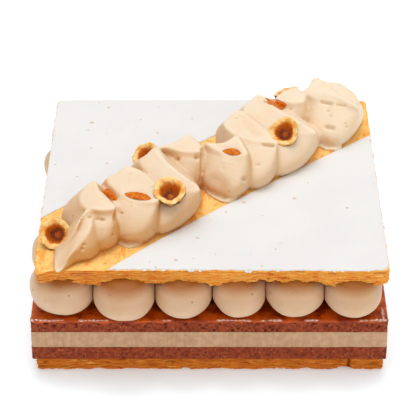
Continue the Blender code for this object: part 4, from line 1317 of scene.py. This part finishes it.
# Other marks of the piping and of handling: how far each is raised or pressed in, how wide it
# reaches to each side, and its line.
MARKS = (
    (-0.6, 5.5, ((-85.3, 0.9, 15.8), (-83.5, 4.1, 15.3), (-80.4, 6.7, 15.6))),
    (-0.9, 2, ((-2.2, -5.7, 18.1), (-4.4, -3.1, 14.5), (-7.4, -0.5, 10.1), (-10.3, 0.9, 4.5))),
    (-0.9, 3, ((-77.5, 10.4, 2.8), (-75.3, 14.0, 1.6), (-72.1, 17.3, 2.3))),
    (-0.9, 3, ((-9.8, 4.9, 1.7), (-10.3, 11.5, 1.6), (-9.0, 17.5, 1.8))),
    (-0.9, 3.2, ((61.3, 20.1, 9.6), (70.5, 18.7, 2.8), (72.5, 23.5, 4.0))),
    (-0.8, 6.5, ((-8.5, 8.9, 8.3), (-8.5, 14.9, 7.2))),
    (-0.9, 3.4, ((36.8, -14.0, 21.4), (34.2, -8.4, 21.2), (30.7, -1.3, 20.8), (28.3, 5.5, 20.1))),
    (-0.7, 2, ((94.2, -5.0, 22.6), (94.5, 1.5, 21.5), (92.8, 9.8, 20.6), (92.4, 15.8, 19.6),
                 (97.0, 17.4, 15.9))),
    (-1.4, 1.4, ((24.6, 13.5, 18.3), (27.5, 18.1, 18.2))),
    (-1.4, 1.4, ((82.6, 3.3, 17.9), (84.9, 8.1, 17.7))),
    (-1.1, 1.2, ((86.5, 11.1, 17.7), (88.5, 15.3, 17.8))),
    (-1.6, 2, ((73.6, 15.4, 10.2), (74.8, 18.6, 10.3))),
    (-1.6, 1.9, ((-15.2, -11.4, 15.4),)),
    (-1.3, 1.9, ((-7.5, -4.1, 16.3),)),
    (-1.4, 1.9, ((1.2, 22.2, 10.2), (2.5, 22.4, 9.4))),
    (-1.4, 1.2, ((-46.8, -13.4, 19.2),)),
    (-1.4, 1.2, ((-87.1, 0.1, 16.2),)),
    (-1.4, 1.4, ((-84.7, 2.5, 15.3),)),
    (-1.4, 1.4, ((-83.8, 4.1, 15.1), (-83.1, 5.2, 15.0))),
    (-1.2, 1.1, ((-70.1, 4.7, 12.9),)),
    (-1.1, 1.1, ((-82.4, 11.9, 8.7),)),
    (-1.1, 1.1, ((-99.2, 8.5, 8.9),)),
    (-1.1, 1.1, ((-100.5, 9.1, 7.3),)),
    (-1.2, 1.2, ((32.0, -14.3, 21.0),)),
    (-1.1, 1.1, ((92.1, 2.4, 21.8),)),
    (-1.1, 1.1, ((80.7, 9.8, 15.4),)),
    (-1.1, 1.1, ((79.3, 12.9, 14.1),)),
    (-0.96, 1.1, ((80.9, 23.8, 10.8),)),
    (-0.96, 1.1, ((67.9, -6.3, 15.4),)),
    (-0.96, 1.1, ((14.5, 19.6, 12.5),)),
)
# Dishes under the small pools of praline: how deep and wide each is, and its middle.
DISHES = ((1.1, 7.7, (-65.1, -9.6, 16.3)),
          (1.1, 9.1, (-57.8, 3.4, 17.6)),
          (1.1, 7.2, (7.0, 7.8, 18.8)),
          (1.1, 12.7, (61.7, -13.2, 19.3)))
# The half nuts in the cream: the middle of each rim, its size, the way it faces and its turn.
NUTS = (
    ((-100.6, -12.1, 7.0), 1.1, (-0.12, -0.80, 0.59), 10),
    ((-45.7, 14.7, 20.6), 1.12, (-0.05, -0.45, 0.89), 40),
    ((40.6, 14.0, 20.0), 1.08, (-0.10, -0.70, 0.70), 75),
    ((-19.7, -31.2, 12.3), 1.05, (-0.45, -0.35, 0.82), 20),
    ((81.9, -23.2, 14.9), 0.93, (-0.30, 0.25, 0.92), 130),
)
POCKET_RADIUS = 6.7
POCKET_DEPTH = 6.6
CREAM_RIPPLES = ((0.2, 7.0), (0.07, 2.2))
CREAM_FLOOR = LID_TOP - 0.3 * MM
SKIRT_HEIGHT = 2.2 * MM
SKIRT_CRUMBLE = 0.9 * MM
SKIRT_LENGTH = 1.8 * MM
CREST_POWER = 1.4
SMOOTHING_SHARE = 0.5
HOLLOW_TURNS = 60
HOLLOW_SHARE = 0.6
HOLLOW_DEPTH = 1.1
RUFFLE_RELIEF = 0.22 * MM
RUFFLE_ENDS = (-115.0, 100.0)
# How much painted shade the cream gets at least, in hollows and on walls, and then how much more it
# gets towards the tail: everywhere, on walls and on what faces right.
SHADE_LEAST = 0.03
SHADE_IN_HOLLOWS = 0.12
SHADE_ON_WALLS = 0.14
STEEPEST_WALL = 0.55
TAIL_SHADE = 0.14
TAIL_SHADE_ON_WALLS = 1.28
TAIL_SHADE_RIGHT = 0.12


def path_distance(points, path):
    """Return how far each point is from a line through the places of a path."""
    nearest = np.full(len(points), np.inf)
    places = [np.array(row_to_world(*place)) for place in path]
    for start, end in zip(places, places[1:] or places):
        run = end - start
        along = np.clip((points - start) @ run / max(run @ run, 1e-12), 0.0, 1.0)
        nearest = np.minimum(nearest, np.linalg.norm(points - start - along[:, None] * run, axis=1))
    return nearest


def press_mesh(mesh, path, amount, reach, crest=False):
    """Raise or press a mesh along a path. A crest is pointed, anything else is round."""
    points = read_rows(mesh.vertices, "co", 3)
    near = np.clip(1.0 - path_distance(points, path) / (reach * MM), 0.0, 1.0)
    share = near ** CREST_POWER if crest else near * near * (3.0 - 2.0 * near)
    points += read_rows(mesh.vertex_normals, "vector", 3) * (share * amount * MM)[:, None]
    points[:, 2] = np.maximum(points[:, 2], CREAM_FLOOR)
    set_points(mesh, points)


def pocketed(points, place, face, size):
    """Return points with those inside a half nut pushed back behind it."""
    axis = np.array(Vector(face).normalized())
    rest = (points - np.array(row_to_world(*place))) / (size * MM)
    up = rest @ axis
    out = np.linalg.norm(rest - up[:, None] * axis, axis=1) / POCKET_RADIUS
    floor = -POCKET_DEPTH * np.sqrt(np.clip(1.0 - out * out, 0.0, 1.0))
    back = np.where((out < 1.0) & (up > floor), floor - up, 0.0)
    return points + axis * (back * size * MM)[:, None]


def lowered(path, drop):
    """Return a path moved straight down."""
    return tuple((along, across, height - drop) for along, across, height in path)


def rippled(points, normals):
    """Return points moved by the cream's faint ripples, and crumbled low down at the skirts."""
    ripples = [sum(size * noise.noise(Vector(point) / (length * MM)) for size, length in CREAM_RIPPLES)
               for point in points]
    low = np.clip(1.0 - (points[:, 2] - LID_TOP) / SKIRT_HEIGHT, 0.0, 1.0)
    crumbly = [SKIRT_CRUMBLE * noise.noise(Vector(point) / SKIRT_LENGTH) for point in points]
    return points + normals * (np.array(ripples) * MM + low * np.array(crumbly))[:, None]


def cream_shade(points, normals, edges):
    """Return how much painted shade the cream gets at each point."""
    broad = smoothed(points, edges, HOLLOW_TURNS, HOLLOW_SHARE)
    hollow = ((broad - points) * normals).sum(axis=1) / (HOLLOW_DEPTH * MM)
    along = ((points[:, :2] / MM - ROW_MIDDLE) * math.sqrt(0.5)).sum(axis=1)
    to_tail = (RUFFLE_ENDS[1] - along) / (RUFFLE_ENDS[1] - RUFFLE_ENDS[0])
    wall = np.minimum(1.0 - normals[:, 2], STEEPEST_WALL)
    right = np.maximum(normals[:, 0], 0.0)
    shade = SHADE_LEAST + SHADE_IN_HOLLOWS * hollow + SHADE_ON_WALLS * wall
    shade += to_tail * (TAIL_SHADE + TAIL_SHADE_ON_WALLS * wall + TAIL_SHADE_RIGHT * right)
    return np.clip(shade, 0.0, 1.0)


# The third colour is the colour of the painted shade in hollows, on walls and towards the tail.
ruffle_cream = cream_material("piped_ruffle_cream", (0.90, 0.755, 0.57, 1), (0.885, 0.69, 0.45, 1),
                              (0.60, 0.25, 0.03, 1), (0.42, 0.14, 0.05, 1), RUFFLE_RELIEF)
skin = fused_folds()
edges = read_rows(skin.edges, "vertices", 2, int)
set_points(skin, smoothed(read_rows(skin.vertices, "co", 3), edges, RUFFLE_SMOOTHING, SMOOTHING_SHARE))
for depth, reach, place in DISHES:
    press_mesh(skin, (place,), -depth, reach)
for amount, reach, path in MARKS:
    press_mesh(skin, path, amount, reach)
for lift, undercut, path in LIPS:
    if undercut:
        press_mesh(skin, lowered(path, UNDERCUT_DROP), -undercut, UNDERCUT_REACH)
    press_mesh(skin, path, lift, LIP_REACH, crest=True)
points = smoothed(read_rows(skin.vertices, "co", 3), edges, 1, SMOOTHING_SHARE)
set_points(skin, points)
normals = read_rows(skin.vertex_normals, "vector", 3)
points = rippled(points, normals)
shade = cream_shade(points, normals, edges)
for place, size, face, _ in NUTS:
    points = pocketed(points, place, face, size)
set_points(skin, points)
skin.name = "cream_ruffle"
piece = set_out("cream_ruffle", skin, ruffle_cream)
note_on_points(piece, "shade", shade)
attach(piece, "root")
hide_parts("piped_ruffle")


# Praline pools
# Small pools of soft praline squeezed into the dips of the ruffle. They are clear orange with
# dark grains of nut, and have a wet shine.

POOLS = (
    ((-63.3, -15.9, 15.5), (-61.7, -15.3, 15.6), (-62.2, -12.1, 16.5), (-63.3, -8.2, 16.6),
     (-64.3, -4.8, 16.4), (-66.3, -3.1, 15.3), (-66.7, -6.4, 14.9), (-68.1, -9.0, 17.1),
     (-69.4, -11.2, 19.1)),
    ((-61.8, -3.3, 17.5), (-58.5, -1.8, 17.8), (-56.4, 0.2, 17.9), (-54.8, 3.0, 18.0),
     (-54.0, 6.6, 17.9), (-54.6, 10.4, 17.7), (-56.5, 10.7, 17.4), (-59.0, 7.1, 17.2),
     (-60.7, 2.7, 17.3), (-61.9, -1.0, 17.4)),
    ((3.5, 2.6, 18.2), (6.5, 4.0, 19.1), (8.8, 6.3, 19.6), (9.8, 9.3, 19.5), (9.1, 12.1, 19.0),
     (7.9, 12.3, 18.5), (6.0, 9.7, 18.2), (4.5, 6.0, 18.1)),
    ((58.1, -20.2, 21.8), (60.2, -18.9, 21.0), (68.5, -19.6, 16.4), (66.9, -16.0, 18.4),
     (67.5, -12.0, 17.9), (67.8, -9.6, 17.0), (65.8, -9.6, 15.6), (56.6, -3.4, 20.3), (55.7, -7.1, 21.1),
     (55.6, -11.9, 21.3), (56.5, -17.0, 21.5)),
)
POOL_CROWN = 0.45
POOL_DEPTH = 1.6
POOL_SINK = 0.05
POOL_STEPS = (1.0, 0.94, 0.85, 0.72, 0.56, 0.38, 0.2, 0.05)
POOL_SHARP_DEGREES = 80.0
POOL_RELIEF = 0.3 * MM


def soft_praline_material():
    """Return soft praline: clear orange, with dark grains, and wet."""
    material, tree, shader = new_material("wet_praline", Specular_IOR_Level=0.1)
    cloud = waves(tree, 0.5, 0.5, 4.0)
    colour = mixed(tree, ramped(tree, cloud, 0.35, 0.65), (0.58, 0.11, 0.002, 1), (0.78, 0.215, 0.004, 1))
    grain = specks(tree, 1.0, 0.35, 0.45, 2.0)["Mask"]
    colour = stained(tree, colour, grain, 0.5, (0.30, 0.035, 0.002, 1))
    finish_surface(tree, shader, colour, ramped(tree, cloud, 0.3, 0.7, 0.05, 0.14), cloud, POOL_RELIEF)
    return material


soft_praline = soft_praline_material()
rises = [(-POOL_DEPTH, close) for close in POOL_STEPS[::-1]]
rises += [(POOL_CROWN, close) for close in POOL_STEPS[1:]]
for number, places in enumerate(POOLS, 1):
    outline = flowing_outline(places)
    middle = outline.mean(axis=0)
    verts = []
    for rise, close in rises:
        ring = middle + (outline - middle) * close
        ring[:, 2] += rise * (1.0 - close * close) - POOL_SINK
        verts.extend(row_to_world(*place) for place in ring)
    around = len(outline)
    faces = [face[::-1] for face in ring_faces(around, len(rises))]
    faces += [list(range(around)), list(range(len(verts) - 1, len(verts) - 1 - around, -1))]
    piece = new_piece(f"soft_praline_{number}", verts, faces, soft_praline, POOL_SHARP_DEGREES)
    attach(piece, "root")
    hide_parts(f"praline_pool_{number}")


# Half nuts
# Roasted hazelnuts split in half and pressed into the cream, hollow side out. The split rim is
# pale and chipped, the hollow turns orange and then dark towards its middle, and scraps of brown skin cling
# to the back.

NUT_AROUND = 120
NUT_RADIUS = 7.4
NUT_DEPTH = 7.6
# How much a half nut is lobed, bumpy, wrinkled, chipped and grainy, and how finely.
NUT_LOBES = (0.13, 1.3)
NUT_BUMPS = (0.03, 6.0)
NUT_WRINKLES = (0.035, 5.0)
NUT_CHIPS = (0.36, 4.0)
NUT_GRAIN = (0.12, 11.0)
NUT_BACK_CHIPS = 0.3
NUT_SEED_STEP = 2.3
NUT_SHARP_DEGREES = 60.0
NUT_RELIEF = 0.1 * MM
# The turned line of a half nut from the middle of its back over the rim to the middle of the
# hollow: distance out and height as shares of the radius and the depth, and its tone from the brown skin over
# the pale rim to the dark middle of the hollow.
NUT_LINE = (
    (0.0, -1.0, 0.0), (0.2, -0.98, 0.0), (0.4, -0.92, 0.0), (0.6, -0.8, 0.0), (0.77, -0.62, 0.0),
    (0.89, -0.42, 0.0), (0.97, -0.2, 0.0), (1.0, -0.06, 0.0), (0.99, 0.0, 0.3), (0.95, 0.03, 1.0),
    (0.88, 0.03, 1.0), (0.8, 0.0, 1.0), (0.72, -0.03, 1.1), (0.66, -0.07, 1.25), (0.6, -0.14, 1.4),
    (0.55, -0.26, 1.5), (0.51, -0.42, 1.6), (0.46, -0.58, 1.75), (0.38, -0.7, 1.9), (0.28, -0.75, 2.0),
    (0.2, -0.73, 1.9), (0.12, -0.69, 1.7), (0.04, -0.67, 1.55),
)


def nut_noise(size_and_waves, x, y, depth):
    """Return a random size at a place round a half nut."""
    size, count = size_and_waves
    return size * noise.noise(Vector((x * count, y * count, depth)))


def half_nut(name, seed, material):
    """Make one half nut with its split face up."""
    verts = []
    values = []
    for line, (out, up, nut_tone) in enumerate(NUT_LINE):
        for step in range(NUT_AROUND):
            around = 2 * math.pi * step / NUT_AROUND
            x, y = math.cos(around), math.sin(around)
            lobed = 1.0 + sum(nut_noise(kind, x, y, seed * kind[1]) for kind in (NUT_LOBES, NUT_BUMPS))
            wrinkle = nut_noise(NUT_WRINKLES, x, y, seed + line * 0.35) if out > 0.3 else 0.0
            radius = NUT_RADIUS * (out * lobed + wrinkle)
            ridge = nut_noise(NUT_CHIPS, x, y, seed + out * 5.0) * (1.0 if up > -0.3 else NUT_BACK_CHIPS)
            ridge += nut_noise(NUT_GRAIN, x, y, seed + out * 9.0)
            verts.append(Vector((x * radius, y * radius, NUT_DEPTH * up + ridge)) * MM)
            values.append(nut_tone)
    first = list(range(NUT_AROUND))
    last = [len(verts) - NUT_AROUND + step for step in first]
    faces = [*ring_faces(NUT_AROUND, len(NUT_LINE)), first[::-1], last]
    piece = new_piece(name, verts, faces, material, NUT_SHARP_DEGREES)
    note_on_points(piece, "nut_tone", values)
    return piece


def nut_material():
    """Return roasted nut: brown skin behind, a pale split rim and a dark hollow."""
    material, tree, shader = new_material("roasted_hazelnut", Specular_IOR_Level=0.4, Subsurface_Weight=0.15,
                                          Subsurface_Scale=0.0015)
    nut_tone = noted(tree, "nut_tone")
    mottle = waves(tree, 0.28, 0.28, 3.0)
    fine = waves(tree, 1.6, 1.6, 3.0)
    husk = mixed(tree, ramped(tree, mottle, 0.5, 0.58), (0.13, 0.030, 0.008, 1), (0.66, 0.33, 0.09, 1))
    cut = mixed(tree, ramped(tree, mottle, 0.38, 0.6), (1.0, 0.70, 0.28, 1), (0.90, 0.42, 0.07, 1))
    patchy = times(tree, worked_out(tree, "SUBTRACT", mottle, 0.5), 0.7)
    uneven = worked_out(tree, "ADD", nut_tone, patchy)
    inner = mixed(tree, ramped(tree, uneven, 1.1, 1.45), cut, (0.66, 0.175, 0.012, 1))
    inner = mixed(tree, ramped(tree, uneven, 1.72, 2.1), inner, (0.20, 0.04, 0.010, 1))
    colour = mixed(tree, ramped(tree, nut_tone, 0.15, 0.5), husk, inner)
    finish_surface(tree, shader, colour, ramped(tree, fine, 0.3, 0.7, 0.45, 0.3), fine, NUT_RELIEF)
    return material


roasted_nut = nut_material()
for number, (place, size, face, turn) in enumerate(NUTS, 1):
    piece = half_nut(f"half_nut_{number}", number * NUT_SEED_STEP, roasted_nut)
    facing = Vector(face).to_track_quat("Z", "Y").to_matrix().to_4x4()
    spin = Matrix.Rotation(math.radians(turn), 4, "Z")
    piece.matrix_world = Matrix.Translation(row_to_world(*place)) @ facing @ spin @ Matrix.Scale(size, 4)
    bpy.context.view_layer.update()
    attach(piece, "root")
    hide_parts(f"hazelnut_{number}")


# Floor, light and camera
# The cake stands on a plain white floor under one large soft lamp above and a little behind
# it, in a white room. The camera looks down at it from the front with a long lens.

CAMERA_PLACE = (0.000378, -0.87256, 0.58267)
CAMERA_PITCH = math.radians(31.82)
CAMERA_LENS = 162.65
SENSOR_WIDTH = 36.0
FLOOR_SIZE = 6.0
FLOOR_DROP = 0.2 * MM
# Each lamp's direction, how wide it spreads in degrees, its strength and its colour.
LAMPS = (("overhead_lamp", (0.0, 0.3, 1.0), 65.0, 1.65, (0.98, 1.0, 1.05)),
         ("key_lamp", (0.0, 0.25, 1.0), 14.0, 0.3, (0.98, 1.0, 1.05)),
         ("front_lamp", (0.2, -1.0, 0.5), 60.0, 0.65, (1.0, 0.96, 0.9)))

bpy.ops.mesh.primitive_plane_add(size=FLOOR_SIZE, location=(0.0, 0.0, -FLOOR_DROP))
floor = bpy.context.object
floor.name = "floor"
white_floor, _, _ = new_material("white_floor", Base_Color=(0.90, 0.96, 1.0, 1), Roughness=0.9,
                                 Emission_Color=(0.86, 1.0, 1.08, 1), Emission_Strength=0.24)
floor.data.materials.append(white_floor)

for name, direction, spread, strength, colour in LAMPS:
    lamp = bpy.data.lights.new(name, "SUN")
    lamp.angle = math.radians(spread)
    lamp.energy = strength
    lamp.color = colour
    holder = bpy.data.objects.new(name, lamp)
    holder.rotation_euler = Vector(direction).to_track_quat("Z", "Y").to_euler()
    bpy.context.scene.collection.objects.link(holder)

world = bpy.data.worlds.new("white_room")
world.use_nodes = True
background = world.node_tree.nodes["Background"]
background.inputs["Color"].default_value = (1.0, 0.93, 0.84, 1.0)
background.inputs["Strength"].default_value = 0.45
bpy.context.scene.world = world
bpy.context.scene.view_settings.view_transform = "Standard"
bpy.context.scene.cycles.use_denoising = True

lens = bpy.data.cameras.new("camera")
lens.sensor_width = SENSOR_WIDTH
lens.lens = CAMERA_LENS
camera = bpy.data.objects.new("camera", lens)
camera.location = CAMERA_PLACE
camera.rotation_euler = (math.pi / 2 - CAMERA_PITCH, 0.0, 0.0)
bpy.context.scene.collection.objects.link(camera)
bpy.context.scene.camera = camera
